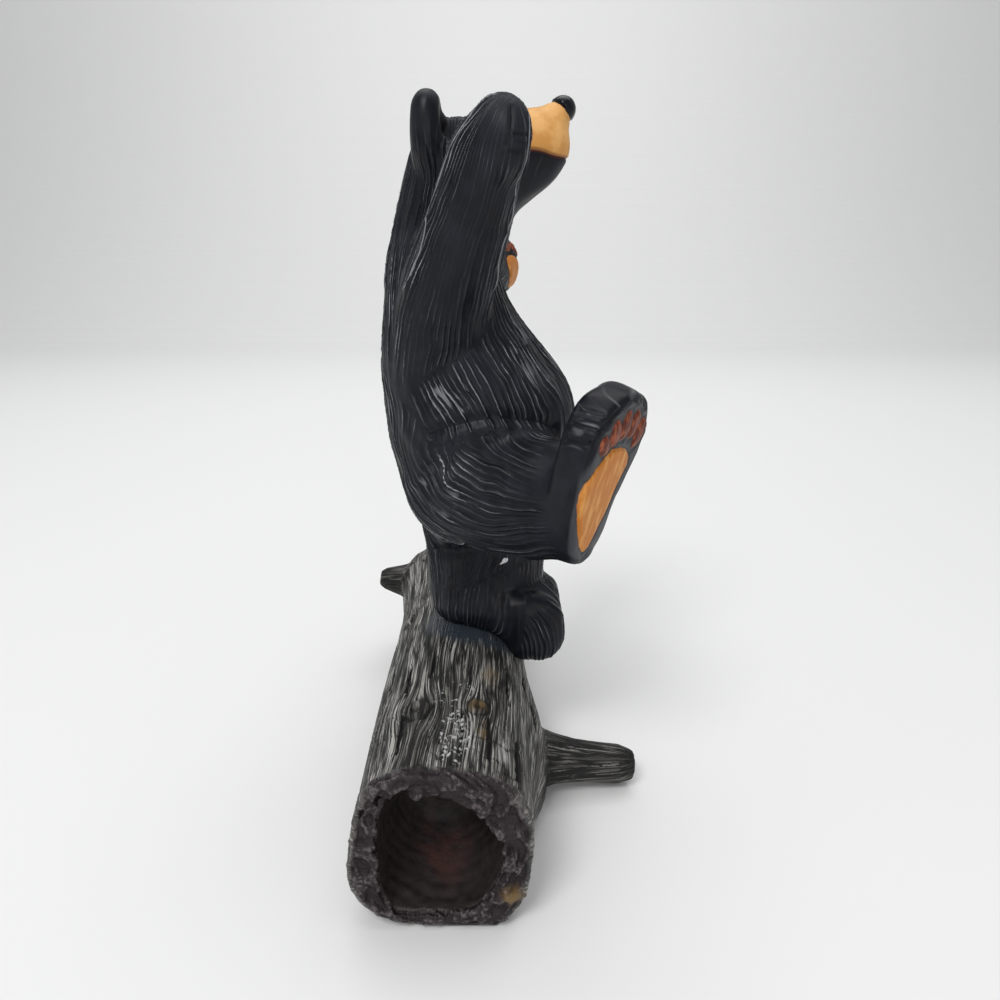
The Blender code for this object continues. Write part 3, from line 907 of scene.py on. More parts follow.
@dataclass
class Bear(Casting):
    """The bear: carved fur, a raised foot with pads, a tan muzzle and a glossy nose."""

    node: str = "bear"
    slot: str = "black_fur_paint"
    voxel: float = 0.38
    rounding: int = 2
    smoothing: int = 5
    triangles: int = 197000
    sole: FlatFace = FlatFace(
        (41.8, -42.7, 102.3), (0.2124, -0.2037, 0.9557), (0.6096, 0.7920, 0.0334),
        (0.7637, -0.5755, -0.2924),
    )
    palms: tuple = (
        FlatFace.palm((13.6, -41.8, 182.2), (28.0, 8.0, 34.0)),
        FlatFace.palm((13.4, 45.8, 157.2), (-24.0, 0.0, -18.0)),
    )
    courses: tuple = (
        Course((
            (5, -4, 78, 20), (7, -4, 95, 23), (9, -4, 112, 27.5), (1.5, -4, 129, 23), (-0.8, -4, 145, 20),
            (0.5, -4, 162, 16.4), (4, -4, 179, 16.4), (4, -4, 192, 13),
        ), 96, 26.0, 0.50, 11, 0.12, 34.0),
        Course((
            (-5, -11, 124, 13), (0.3, -21.4, 149.6, 12.3), (4.9, -29.3, 160.9, 10.6),
            (8.8, -35.7, 171.5, 9.4), (12, -40.5, 181, 9.0),
        ), 56, 30.0, 0.42, 23),
        Course((
            (-5, 3, 131, 13), (0.9, 18.3, 147.8, 11.4), (6.4, 31.1, 152, 9.8), (12, 43, 156.2, 9.0),
        ), 48, 26.0, 0.45, 37),
        Course((
            (-9, -5, 122, 16), (-6, -10, 103, 20), (5, -15, 95, 23), (16, -23, 94.5, 22),
            (25, -31, 95, 18), (33, -36, 96, 15),
        ), 52, 18.0, 0.60, 41, 0.0, 36.0, (0.0, -1.0, 0.0), 0.40),
        Course((
            (7.6, 4.6, 90, 18), (9.9, 5.2, 72, 17), (9.2, 5.2, 55.7, 15), (8, 5, 46, 14),
        ), 66, 22.0, 0.38, 53),
        Course((
            (9, 4, 60, 9), (14.3, 3.7, 53, 10), (22, 2.7, 49.5, 10), (24.5, 2.7, 43, 10),
            (24.5, 2.7, 36, 10),
        ), 64, 18.0, 0.34, 67, 0.0, 0.0, (0.0, 0.0, 1.0)),
    )
    calm: tuple = (
        (Patch((27, -4, 189), (15, 13, 13), 0.3), 1.0),
        (Patch((-4.1, -16, 190), (7, 8, 12), 0.3), 1.0),
        (Patch((-4.1, 8, 190), (7, 8, 12), 0.3), 1.0),
        (Patch((15, -50, 181.5), (7, 6, 7.5), 0.5), 0.85),
        (Patch((14.5, -44, 189), (11, 10, 8), 0.5), 0.65),
        (Patch((11, -43, 172), (8, 8, 9), 0.5), 0.7),
        (Patch((7.5, -38, 162), (8, 9, 12), 0.5), 0.7),
        (Patch((2.5, -32, 150), (8, 9, 12), 0.5), 0.6),
        (Patch((38, -41, 104), (16, 20, 32), 0.25), 1.0),
        (Patch((18, -4, 176), (15, 14, 13), 0.4), 0.95),
        (Patch((25, -40, 104), (11, 8, 12), 0.6), 0.55),
        (Patch((17, 47, 157), (7, 10, 10), 0.3), 0.9),
        (Patch((19.5, -7.5, 60.5), (7, 7, 6), 0.6), 0.9),
    )
    # Patches of pale dry brush; the one on the flank, at 1.30, is a painted highlight where the flank faces
    # the light
    dry_brush_and_highlights: tuple = (
        (Patch((-16, -12, 135), (13, 20, 52), 0.6), 0.80),
        (Patch((23, -14, 133), (16, 24, 24), 0.6), 1.0),
        (Patch((1.5, -29, 122.5), (11, 8, 8), 0.6), 1.30),
        (Patch((-3, -28, 97), (17, 14, 17), 0.6), 1.05),
        (Patch((-7, -18, 82), (13, 18, 11), 0.6), 1.05),
        (Patch((26, -4, 48), (13, 15, 13), 0.6), 0.45),
        (Patch((-6, 20, 120), (20, 20, 60), 0.6), 0.60),
    )
    # Raised crests; a thin pale line on each is a painted highlight, and a band of it with dry brush runs
    # along the first
    arm_ridges: tuple = (
        Line((
            (14.5, -45.2, 191.1), (9.5, -44.7, 188.4), (5.0, -44.1, 182.9), (1.0, -39.2, 174.9),
            (-1.7, -36.5, 169.2), (-3.4, -35.5, 163.0), (-5.5, -33.3, 157.6), (-7.9, -30.1, 152.9),
            (-11.0, -25.2, 148.4),
        ), 1.1, 0.65),
        Line((
            (20.2, -46.7, 188.6), (20.4, -48.0, 185.0), (20.3, -48.4, 181.0), (19.6, -46.0, 177.0),
            (18.4, -41.5, 172.0), (17.0, -37.3, 167.3), (15.8, -36.3, 163.8), (14.7, -34.9, 160.3),
            (13.8, -33.0, 156.6), (13.4, -29.2, 152.4), (12.4, -26.7, 149.0),
        ), 0.9, 0.50),
        Line(((-9.0, -7.5, 76.5), (-4.5, -12.5, 75.0), (0.5, -18.0, 77.5), (4.5, -26.0, 81.5)), 0.8, 0.35),
    )
    knuckles: tuple = (
        Line(((31.4, -50.6, 122.2), (34.6, -52.6, 121.6), (38.2, -54.2, 120.8)), 1.5, 0.70),
        Line(((30.4, -50.8, 118.7), (33.8, -53.0, 118.2), (37.4, -54.6, 117.4)), 1.5, 0.70),
    )
    # Carved creases; each is also painted pure black as painted shade, the one under the rump's overhang
    # included
    creases: tuple = (
        Line((
            (-5.5, -25.5, 111.5), (-2.8, -28.2, 114.0), (2.7, -29.6, 115.8), (8.0, -29.9, 117.1),
            (13.8, -29.6, 117.6), (19.1, -28.1, 117.1), (24.0, -25.7, 116.1), (27.9, -23.3, 114.6),
            (31.3, -19.9, 112.6),
        ), 1.7, -1.30),
        Line((
            (-7.5, -1.5, 70.8), (-4.5, -5.0, 70.7), (-0.6, -7.6, 71.2), (4.0, -9.4, 72.6),
            (9.0, -10.0, 74.0), (14.0, -10.0, 74.6), (19.0, -9.0, 74.0), (24.0, -6.0, 72.6),
        ), 2.2, -1.60),
        Line((
            (16.6, -48.6, 188.6), (16.8, -50.1, 185.0), (16.2, -50.6, 182.2), (15.2, -50.2, 179.6),
        ), 0.5, -0.40),
        Line(((16.9, -50.6, 182.4), (18.6, -50.0, 182.5), (20.3, -48.9, 182.4)), 0.5, -0.35),
        Line(((15.9, -50.2, 178.9), (17.5, -49.7, 179.1), (19.3, -48.8, 179.3)), 0.5, -0.35),
        Line((
            (44.1, -50.3, 125.2), (38.8, -54.6, 120.4), (35.7, -54.9, 115.2), (33.8, -53.4, 107.4),
            (32.8, -51.4, 100.9), (33.7, -48.6, 93.8), (35.2, -44.1, 88.0),
        ), 0.5, -0.35),
        Line(((32.0, -50.6, 123.6), (35.0, -52.6, 123.1), (38.6, -54.0, 122.2)), 0.8, -0.55),
        Line(((30.8, -50.8, 120.4), (34.0, -53.2, 119.9), (37.6, -54.9, 119.1)), 0.8, -0.55),
        Line(((29.6, -50.4, 116.6), (32.6, -53.0, 116.2), (35.9, -54.9, 115.5)), 0.8, -0.55),
        Line((
            (0.6, -11.4, 193.8), (0.4, -12.7, 190.5), (0.4, -15.5, 187.6), (0.2, -19.0, 184.6),
        ), 0.7, -0.45),
    )

    def build(self) -> bpy.types.Object:
        """Makes the bear.

        Returns:
            The finished piece.
        """
        surface = Surface(self.clay(self.masses()))
        ridges = [line.laid(surface) for line in self.arm_ridges]
        creases = [line.laid(surface) for line in self.creases]
        height, lay, flow = self.fur(surface, ridges[0])
        zones = self.zones(surface)
        self.flow_on_flats(surface, zones, flow)
        surface.keep("lay", lay)
        surface.keep("flow", flow)
        # Painted highlight along the crests
        surface.keep("light", self.nearest_line(ridges))
        # Painted shade along the creases
        surface.keep("dark", self.nearest_line(creases))
        for name, depth in zones.items():
            surface.keep(name, np.clip(depth, -ZONE_DEPTH, ZONE_DEPTH))
        knuckles = [line.laid(surface) for line in self.knuckles]
        groups = (self.arm_ridges, ridges), (self.creases, creases), (self.knuckles, knuckles)
        for lines, laid in groups:
            for line, line_laid in zip(lines, laid):
                height = line.carved(height, line_laid)
        surface.lift(height + self.pad_relief(zones))
        return self.finished("carved_bear", surface, FurFinish().paint())

    def nearest_line(self, laid: list) -> np.ndarray:
        """Which of several lines is nearest to each point.

        Args:
            laid: What each line's laid method gave.

        Returns:
            Rows of the distance to that line, how much of it is left there, and 0.
        """
        gaps = np.array([row[0] for row in laid])
        kept = np.array([row[1] for row in laid])
        nearest = np.abs(gaps).argmin(axis=0)
        points = np.arange(gaps.shape[1])
        gap = gaps[nearest, points]
        left = kept[nearest, points] * fade(np.abs(gap), 2.0, 1.2)
        return np.stack([gap, left, 0 * gap], axis=1)

    def flow_on_flats(self, surface: Surface, zones: dict, flow: np.ndarray) -> None:
        """Turns the flow on the sole and the palms, so that the pads' streaks run to the toes.

        Args:
            surface: The clay.
            zones: The painted places.
            flow: The flow coordinates, which are changed in place.
        """
        depth = np.maximum(zones["pads"], zones["toe_pads"])
        for face in (self.sole,) + self.palms:
            flat = face.flat(surface.places)
            here = (depth > -1.5) & (np.linalg.norm(flat, axis=1) < 30.0)
            flow[here] = np.stack([flat[:, 1], 20 + flat[:, 2], flat[:, 0]], axis=1)[here]

    def masses(self) -> bmesh.types.BMesh:
        """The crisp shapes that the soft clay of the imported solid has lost.

        Returns:
            Closed shapes in millimetres.
        """
        heap = bmesh.new()
        dip = Euler((0, math.radians(-20), 0))
        nose = Matrix.LocRotScale(Vector((31.0, -4, 195.9)), dip, Vector((3.3, 4.5, 3.2)))
        bmesh.ops.create_uvsphere(heap, u_segments=32, v_segments=20, radius=1, matrix=nose)
        for side in (-1, 1):
            socket = Vector((15.6, -4 + side * 7.4, 191.4))
            eye = Matrix.LocRotScale(socket, None, Vector((2.0, 1.9, 2.0)))
            bmesh.ops.create_uvsphere(heap, u_segments=24, v_segments=16, radius=1, matrix=eye)
        return heap

    def fur(self, surface: Surface, arm_ridge: tuple) -> tuple:
        """Carves the strokes of the fur.

        Args:
            surface: The clay.
            arm_ridge: How the ridge along the raised arm is laid, where a painted highlight and dry brush
                go.

        Returns:
            The strokes' height; for each point how strong its stroke is, how hairy it is and how
            much pale dry brush and painted highlight lies on it; and the flow coordinates.
        """
        points = surface.places
        combed = [course.comb(points) for course in self.courses]
        near = np.array([row[0] for row in combed])
        weight = np.exp(-BORDER_SHARPNESS * (near - near.min(axis=0)))
        weight /= weight.sum(axis=0)
        depth = (weight * np.array([course.depth for course in self.courses])[:, None]).sum(axis=0)
        winner = near.argmin(axis=0)
        every = np.arange(len(points))
        off, strength, level, flow = (
            np.array([row[part] for row in combed])[winner, every] for part in (1, 2, 3, 4)
        )
        purity = fade(weight.max(axis=0), 0.5, 0.8)
        strength = (0.15 + 0.85 * strength) * purity
        hairiness = np.ones(len(points))
        for patch, amount in self.calm:
            hairiness *= 1.0 - amount * patch.inside(points)
        uneven = 0.75 + 0.25 * soft_noise(points / 8.0, 71)
        height = depth * uneven * (strength * (1.0 - off) ** 2 - 0.25) + 0.14 * level * purity
        brush = 0.26 + 0.20 * rough_noise(points / 12.0, 83)
        # Pale dry brush, and on the flank a painted highlight
        for patch, amount in self.dry_brush_and_highlights:
            inside = patch.inside(points)
            brush = np.maximum(brush, inside * (amount + 0.25 * rough_noise(points / 7.0, 89)))
        # Paler on upward-facing surfaces: a painted highlight from above
        brush = np.clip(brush + 0.15 * surface.normals[:, 2], 0.0, 1.3) * hairiness
        # A band of painted highlight and dry brush along the raised arm's back crest
        band = np.exp(-((np.abs(arm_ridge[0]) / 3.5) ** 2)) * arm_ridge[1]
        brush = np.maximum(brush, 0.95 * band)
        hairiness = np.maximum(hairiness, 0.8 * band)
        # Painted highlight on the raised foot's side, over the toe knuckles
        brush = np.maximum(brush, 1.1 * Patch((33.5, -52.5, 119.5), (6, 4, 6), 0.7).inside(points))
        return height * hairiness, np.stack([strength, hairiness, brush], axis=1), flow

    def zones(self, surface: Surface) -> dict:
        """Finds the painted places.

        Args:
            surface: The clay.

        Returns:
            For each zone, how deep inside it each point is, in millimetres.
        """
        points = surface.places
        x, y, z = points.T
        across = np.abs(y + 4.0)
        mouth = 184.4 - 0.10 * (x - 25.0) + 0.3 * np.sin(x / 1.7)
        muzzle = np.minimum(np.minimum(z - mouth, x - 17.0 - 0.25 * across), 14.0 - across)
        bridge = 0.666 * (x - 29.0) + 0.747 * (z - 196.9) - 0.015 * across**2
        nose = np.minimum(bridge / 4.0, (6.0 - across) / 4.0)
        eyes = [
            1.0 - np.linalg.norm((points - (16.2, -4 + side * 8.2, 191.6)) / 2.1, axis=1)
            for side in (-1, 1)
        ]
        gloss = np.maximum(4.0 * nose, 2.1 * np.maximum(*eyes))
        flat = self.sole.flat(points)
        on_sole = np.minimum(3.0 - np.abs(flat[:, 2]), 3.0)
        pad = Outline((
            (11.3, -3.8), (11.0, 0.2), (9.8, 3.4), (7.8, 5.8), (5.0, 6.6), (2, 5.4), (-1, 4.3), (-7.9, 3.0),
            (-14.0, 0.6), (-18.0, -0.9), (-19.3, -2.8), (-16.6, -5.4), (-12, -8.2), (-7.1, -10.6),
            (-3, -12.0), (0.6, -12.5), (3.8, -12.3), (7.4, -9.6), (10.0, -6.4),
        ))
        pads = np.minimum(pad.depth(flat[:, :2]), on_sole)
        toes = np.full(len(points), -9.0)
        for along, aside, turn, long, wide in (
            (13.2, -8.8, -24, 3.0, 2.0), (15.7, -5.0, -12, 3.9, 2.15), (17.2, -0.8, -2, 4.0, 2.2),
            (16.6, 3.5, 8, 3.9, 2.2), (13.4, 8.0, 18, 4.3, 2.3),
        ):
            toes = np.maximum(toes, self.oval(flat, (along, aside), turn, (long, wide)))
        toes = np.minimum(toes, on_sole)
        slab = Outline((
            (-21.5, -3.0), (-19.0, -8.0), (-12, -11.5), (-3, -14.0), (8.0, -13.0), (16.0, -10.5),
            (21.5, -5.0), (23.0, 0.0), (21.0, 6.0), (16.0, 11.5), (8.0, 10.0), (0.0, 7.0), (-10.0, 5.0),
            (-18.0, 3.5),
        ))
        sole_face = np.minimum(slab.depth(flat[:, :2]), 2.0 - np.abs(flat[:, 2]))
        for palm, shift in zip(self.palms, (3.2, 0.0)):
            flat = palm.flat(points)
            on_palm = np.minimum(flat[:, 2] - 4.4, 11.0 - np.linalg.norm(flat, axis=1))
            pad = self.oval(flat, (-2.6, shift), 0, (5.0, 7.4 - 0.8 * shift))
            pads = np.maximum(pads, np.minimum(pad, on_palm))
            for along, aside, turn in ((3.8, -6.0, 35), (5.9, -2.1, 12), (5.9, 2.1, -12), (3.8, 6.0, -35)):
                toe = self.oval(flat, (along, 0.6 * shift + aside * (1 - 0.1 * shift)), turn, (2.1, 1.6))
                toes = np.maximum(toes, np.minimum(toe, on_palm))
        chip_place = points - (15.2, -8.2, 68.5)
        head = 0.95 - np.hypot(chip_place[:, 0] - 0.8, (chip_place[:, 2] - 0.6) / 0.8)
        shaft = 0.42 - np.hypot(
            (chip_place[:, 0] + chip_place[:, 2]) / 4.5, (chip_place[:, 2] - 0.6 * chip_place[:, 0]) / 1.1,
        )
        chip = np.maximum(head, shaft) + 0.25 * rough_noise(points / 0.8, 97)
        chip = np.minimum(chip, 3.0 - np.abs(chip_place[:, 1]))
        return {
            "muzzle": muzzle, "gloss": gloss, "pads": pads, "toe_pads": toes, "chip": chip,
            "sole_face": sole_face,
        }

    def oval(self, flat: np.ndarray, centre: tuple, turn: float, halves: tuple) -> np.ndarray:
        """How deep inside an oval on a flat face points are.

        Args:
            flat: Places in the face's own axes.
            centre: The oval's middle on the face.
            turn: How far it's turned, in degrees.
            halves: Half its length and half its width.

        Returns:
            About millimetres from the oval's edge, below zero outside.
        """
        angle = math.radians(turn)
        ahead, aside = flat[:, 0] - centre[0], flat[:, 1] - centre[1]
        along = ahead * math.cos(angle) + aside * math.sin(angle)
        across = aside * math.cos(angle) - ahead * math.sin(angle)
        return min(halves) * (1.0 - np.hypot(along / halves[0], across / halves[1]))

    def pad_relief(self, zones: dict) -> np.ndarray:
        """Raises the pads a little and cuts a line round them.

        Args:
            zones: The painted places.

        Returns:
            Millimetres outwards for each point.
        """
        relief = np.zeros(len(zones["pads"]))
        for name, rise in (("pads", 0.35), ("toe_pads", 0.4)):
            depth = zones[name]
            relief += rise * fade(depth, 0.0, 0.8) - 0.40 * np.exp(-(((depth + 0.25) / 0.35) ** 2))
        relief -= 0.45 * np.exp(-((zones["muzzle"] / 0.4) ** 2))
        nose = zones["gloss"]
        return relief + 0.30 * fade(nose, 0.0, 0.6) - 0.30 * np.exp(-(((nose + 0.2) / 0.4) ** 2))


@dataclass(frozen=True)
class Crack:
    """A long dark crack in the log, between two places on its unrolled skin."""

    start: tuple
    end: tuple
    width: float

    def gap(self, across: np.ndarray, along: np.ndarray) -> np.ndarray:
        """How far places on the unrolled skin are from the crack.

        Args:
            across: The way round the log.
            along: The way along it.

        Returns:
            A signed distance, stretched so that it reads 0.5 at the crack's edge.
        """
        run = self.end[1] - self.start[1]
        share = np.clip((along - self.start[1]) / run, 0.0, 1.0)
        wobble = 0.3 * soft_noise(np.stack([along / 2.3, 0 * along + self.start[0]], axis=1), 5)
        line = self.start[0] + share * (self.end[0] - self.start[0]) + wobble
        past = np.abs(along - self.start[1] - share * run)
        width = self.width * (0.35 + 0.65 * np.sin(np.pi * np.clip(share, 0.06, 0.94)))
        aside = across - line
        return np.where(aside < 0, -1.0, 1.0) * np.hypot(aside, past) * 0.5 / width


@dataclass
class Log(Casting):
    """The log: weathered grain, knots and cracks, rough rims and two scooped ends."""

    node: str = "hollow_log"
    slot: str = "weathered_wood_paint"
    voxel: float = 0.5
    rounding: int = 0
    smoothing: int = 9
    triangles: int = 196000
    girth: float = 22.0
    middle: float = 22.5
    half_length: float = 79.0
    knots: tuple = (
        (8.6, -48.5, 2.5), (-7.5, -50.6, 3.2), (-17.0, 10.0, 2.2), (31.0, 22.0, 3.0), (-40.0, -20.0, 3.4),
    )
    cracks: tuple = (
        Crack((-11.9, -26.7), (-11.8, -42.8), 0.66), Crack((-11.6, -51.6), (-11.0, -68.4), 0.66),
        Crack((4.5, -50.5), (5.0, -62.5), 0.50), Crack((11.7, -52.4), (12.4, -70.6), 0.66),
        Crack((24.6, -17.0), (26.0, -27.0), 0.80), Crack((28.0, -26.0), (30.5, -36.0), 0.80),
        Crack((19.0, -58.0), (19.8, -73.0), 0.50), Crack((-19.0, -20.0), (-18.0, -36.0), 0.45),
        Crack((-5.0, -22.0), (-5.4, -36.0), 0.42), Crack((16.0, -24.0), (16.8, -44.0), 0.45),
        Crack((-24.0, -10.0), (-25.0, 20.0), 0.52), Crack((6.0, 30.0), (7.0, 52.0), 0.52),
        Crack((36.0, 5.0), (37.5, 40.0), 0.52), Crack((-36.0, 30.0), (-35.0, 60.0), 0.52),
    )
    mouth_centre: tuple = (0.0, 21.4)
    mouth: tuple = (
        (-12.2, 37.9), (-14.4, 31.0), (-15.1, 25.3), (-15.3, 19.0), (-15.1, 13.6), (-14.0, 8.4),
        (-12.1, 4.8), (-3.0, 4.3), (7.2, 4.8), (10.6, 8.0), (12.9, 12.4), (14.8, 17.0), (15.3, 21.5),
        (14.0, 26.2), (11.7, 30.2), (8.2, 34.0), (2.2, 36.5), (-5.0, 37.4),
    )
    lip: tuple = (
        Line((
            (-16, -77.5, 38.0), (-10, -78.0, 41.0), (-3, -78.0, 42.4), (5, -78.0, 41.4), (12, -78, 38.8),
        ), 2.0, 0.6),
        Line(((-21.5, -78.0, 30.0), (-17.5, -79.0, 33.5), (-13.0, -79.0, 37.2)), 0.9, -1.3),
        Line(((-21.0, -79.0, 12.0), (-18.0, -79.0, 11.2), (-15.5, -79.0, 12.5)), 0.7, -0.7),
        Line(((17.0, -79.0, 19.0), (17.8, -79.0, 24.0), (17.2, -79.0, 28.5)), 0.8, -0.7),
    )

    def build(self) -> bpy.types.Object:
        """Makes the log.

        Returns:
            The finished piece.
        """
        surface = Surface(self.clay(bmesh.new()))
        self.shape_mouth(surface)
        points = surface.places
        x, y, z = points.T
        turn = np.arctan2(x, z - self.middle)
        across = self.girth * turn
        radial = np.stack([np.sin(turn), np.zeros(len(x)), np.cos(turn)], axis=1)
        outward = (surface.normals * radial).sum(axis=1)
        reach = np.hypot(x, z - self.middle)
        top = fade(z, 33.0, 40.0) * fade(y, 0.0, -60.0)
        back = 2.2 + top * (2.6 + 1.2 * rough_noise(points / 5.0, 39, 2))
        end = fade(np.abs(y), self.half_length - back, self.half_length - 0.4 * back)
        skin = fade(outward, 0.05, 0.45) * (1.0 - fade(reach, 27.0, 31.0))
        stub = fade(reach, 27.0, 31.0)
        hollow = np.clip(1.0 - skin - stub, 0.0, 1.0) * (1.0 - end) * fade(reach, 24.0, 22.5)
        rim = np.clip(end * (1.0 - skin * 0.6 * (1.0 - top)), 0.0, 1.0)
        grain, flow = self.grain(points, across)
        knots, ring_mask = self.knot_relief(across, y)
        gaps = np.array([crack.gap(across, y) for crack in self.cracks])
        crack = gaps[np.abs(gaps).argmin(axis=0), np.arange(len(x))]
        cuts = 1.1 * np.exp(-((crack / 0.5) ** 2)) * skin
        crust, crust_relief = self.crust(points, across)
        worms = self.worm_tracks(across, y)
        rings = self.bowl_rings(points)
        stub_grain, stub_flow = self.stub_grain(points)
        rough = rough_noise(points / 1.6, 31, 3)

        height = skin * (0.30 * (grain - 0.6) * (1 - ring_mask) + knots + crust_relief + worms) - cuts
        crests = self.rim_crests(points, turn, reach)
        height = height * (1 - rim) + rim * (0.35 * rough + 1.5 * crests - 0.9)
        height += hollow * rings + stub * 0.16 * (stub_grain - 0.6)
        for line in self.lip:
            height = line.carved(height, line.laid(surface))
        flow[stub > 0.5] = stub_flow[stub > 0.5]
        bare = (skin < 0.5) & (stub < 0.5)
        flow[bare] = np.stack([x, z, 8.0 * y], axis=1)[bare]
        # The blue-grey patch under the foot, lightened in the paint as a painted highlight
        slate = Patch((7, -2, 43), (20, 17, 9), 0.35).inside(points) * fade(z, 30.0, 38.0)
        height = height * (1.0 - 0.7 * slate)
        flat_foot = fade(z, 0.4, 1.6)
        level = skin * (grain - 1.4 * np.clip(cuts, 0, 0.7) - 0.5 * np.clip(-worms * 3, 0, 1))
        level = level + stub * (0.38 * stub_grain - 0.04) + skin * np.minimum(1.2 * knots, 0.0)
        level = np.where(rim > 0.3, 0.10 + 0.3 * rough + 0.9 * crests, level)
        level = np.where(hollow > 0.5, 0.50 + 1.3 * rings, level - 0.45 * skin * ring_mask)
        level = level * (1.0 - 0.8 * Patch((55, -22, 7), (6, 8, 8), 0.6).inside(points))
        left = skin * fade(np.abs(crack), 3.0, 1.5)
        for name, values in {
            "height": np.clip(level, 0.0, 1.0),
            "flow": flow,
            "crack": np.stack([crack, left, 0 * crack], axis=1),
            "rim": rim,
            "hollow": hollow,
            "heart": hollow * Patch((-1, -63, 10), (11, 14, 11), 0.8).inside(points),
            "crust": crust * skin * (1 - end),
            "ochre": self.ochre(points),
            "slate": slate,
        }.items():
            surface.keep(name, values)
        surface.lift(height * flat_foot)
        return self.finished("carved_log", surface, WoodFinish().paint())

    def shape_mouth(self, surface: Surface) -> None:
        """Moves the edge of the front hollow from a rounded square to its own uneven outline."""
        x, y, z = surface.places.T
        aside, up = x - self.mouth_centre[0], z - self.mouth_centre[1]
        reach, turn = np.hypot(aside, up), np.arctan2(up, aside)
        corners = np.array(self.mouth) - np.array(self.mouth_centre)
        corner_turn = np.arctan2(corners[:, 1], corners[:, 0])
        order = np.argsort(corner_turn)
        wanted = np.interp(turn, corner_turn[order], np.hypot(*corners[order].T), period=2 * math.pi)
        lean = turn + math.radians(7.0)
        across, high = np.abs(np.cos(lean)) / 15.5, np.abs(np.sin(lean)) / 16.8
        modelled = (across**2.6 + high**2.6) ** (-1 / 2.6)
        inner = np.clip(reach / modelled, 0.0, 1.0)
        share = inner * fade(reach, modelled + 4.5, modelled) * fade(y, -55.0, -70.0)
        step = share * (wanted - modelled) / np.maximum(reach, 1.0)
        surface.places = surface.places + np.stack([aside * step, 0 * step, up * step], axis=1)
        surface.write()

    def grain(self, points: np.ndarray, across: np.ndarray) -> tuple:
        """Grooves of the weathered grain, which part round the knots.

        Args:
            points: Places, one row each.
            across: The way round the log.

        Returns:
            The grain's height, 0 in a groove to 1, and coordinates that follow it.
        """
        along = points[:, 1]
        side = across.copy()
        for knot_across, knot_along, size in self.knots:
            aside = across - knot_across
            pull = np.exp(-((aside / (1.7 * size)) ** 2) - ((along - knot_along) / (2.6 * size)) ** 2)
            side -= 0.8 * aside * pull
        side += 0.7 * soft_noise(np.stack([across / 9.0, along / 26.0], axis=1), 3)
        coarse = np.abs(rough_noise(np.stack([side / 1.5, along / 24.0], axis=1), 7, 2))
        fine = np.abs(soft_noise(np.stack([side / 0.72, along / 16.0], axis=1), 13))
        height = 0.5 * fade(coarse, 0.0, 0.22) + 0.5 * fade(fine, 0.0, 0.30)
        reach = self.girth
        flow = np.stack([reach * np.sin(side / reach), reach * np.cos(side / reach), along], axis=1)
        return height, flow

    def knot_relief(self, across: np.ndarray, along: np.ndarray) -> tuple:
        """Rings and a small pit at each knot.

        Args:
            across: The way round the log.
            along: The way along it.

        Returns:
            The relief in millimetres, and how much of each point is knot.
        """
        relief = np.zeros(len(across))
        mask = np.zeros(len(across))
        for knot_across, knot_along, size in self.knots:
            away = np.hypot(across - knot_across, (along - knot_along) / 1.25) / size
            away = away * (1 + 0.12 * soft_noise(np.stack([across / 1.5, along / 1.5], axis=1), 19))
            inside = 1.0 - fade(away, 0.8, 1.25)
            rings = 0.30 * np.cos(away * 9.0) - 1.0 * np.exp(-((away / 0.25) ** 2)) + 0.35
            relief += inside * rings - 0.60 * np.exp(-(((away - 1.15) / 0.16) ** 2))
            mask = np.maximum(mask, inside)
        return relief, mask

    def crust(self, points: np.ndarray, across: np.ndarray) -> tuple:
        """The patch of crusty, white-brushed beads near the front of the log.

        Args:
            points: Places, one row each.
            across: The way round the log.

        Returns:
            Where the brush caught its beads, 0 to 1, and its relief in millimetres.
        """
        along = points[:, 1]
        border, own = cell_borders(across / 1.35, along / 1.7, 4096, 91)
        wobble = 0.35 * rough_noise(points / 3.0, 95)
        lower = 1.0 - fade(np.hypot((across - 3.4) / 5.0, (along + 63.0) / 12.5) + wobble, 0.75, 1.05)
        bead = fade(border, 0.08, 0.4) * fade(own, 0.12, 0.3) * lower
        slant = np.stack([(across + 0.9 * along) / 1.5, (along - 0.9 * across) / 3.4], axis=1)
        strand = fade(np.abs(rough_noise(slant, 93, 2)), 0.22, 0.06)
        upper = np.hypot((across - 0.4 - 0.35 * (along + 47)) / 5.6, (along + 44) / 8.5)
        upper = 1.0 - fade(upper + wobble, 0.7, 1.05)
        where = np.maximum(lower, upper)
        raised = np.maximum(bead, 0.8 * strand * upper)
        return raised, 0.55 * raised - 0.2 * where

    def worm_tracks(self, across: np.ndarray, along: np.ndarray) -> np.ndarray:
        """Winding grooves like beetle tracks, here and there on the log.

        Args:
            across: The way round the log.
            along: The way along it.

        Returns:
            Millimetres outwards, below zero in a groove.
        """
        flat = np.stack([across / 5.5, along / 6.5], axis=1)
        bend = rough_noise(flat, 43, 2)
        track = np.exp(-((bend / 0.05) ** 2))
        where = fade(soft_noise(np.stack([across / 16.0, along / 22.0], axis=1), 47), 0.0, 0.35)
        left = np.exp(-(((across + 15.0) / 6.0) ** 2) - ((along + 56.0) / 13.0) ** 2)
        return -0.42 * track * np.clip(where + 1.3 * left, 0.0, 1.0)

    def rim_crests(self, points: np.ndarray, turn: np.ndarray, reach: np.ndarray) -> np.ndarray:
        """Broken edges that run round the two rims.

        Args:
            points: Places, one row each.
            turn: The angle round the log.
            reach: The distance from the log's middle.

        Returns:
            Their height, from 0 between them to 1 on a sharp edge.
        """
        bent = reach + 1.6 * rough_noise(points / 6.0, 51, 2)
        flat = np.column_stack([bent / 2.4, np.cos(turn) * 4.2, np.sin(turn) * 4.2 + points[:, 1] / 3.0])
        return 1.0 - fade(np.abs(rough_noise(flat, 57, 2)), 0.0, 0.42)

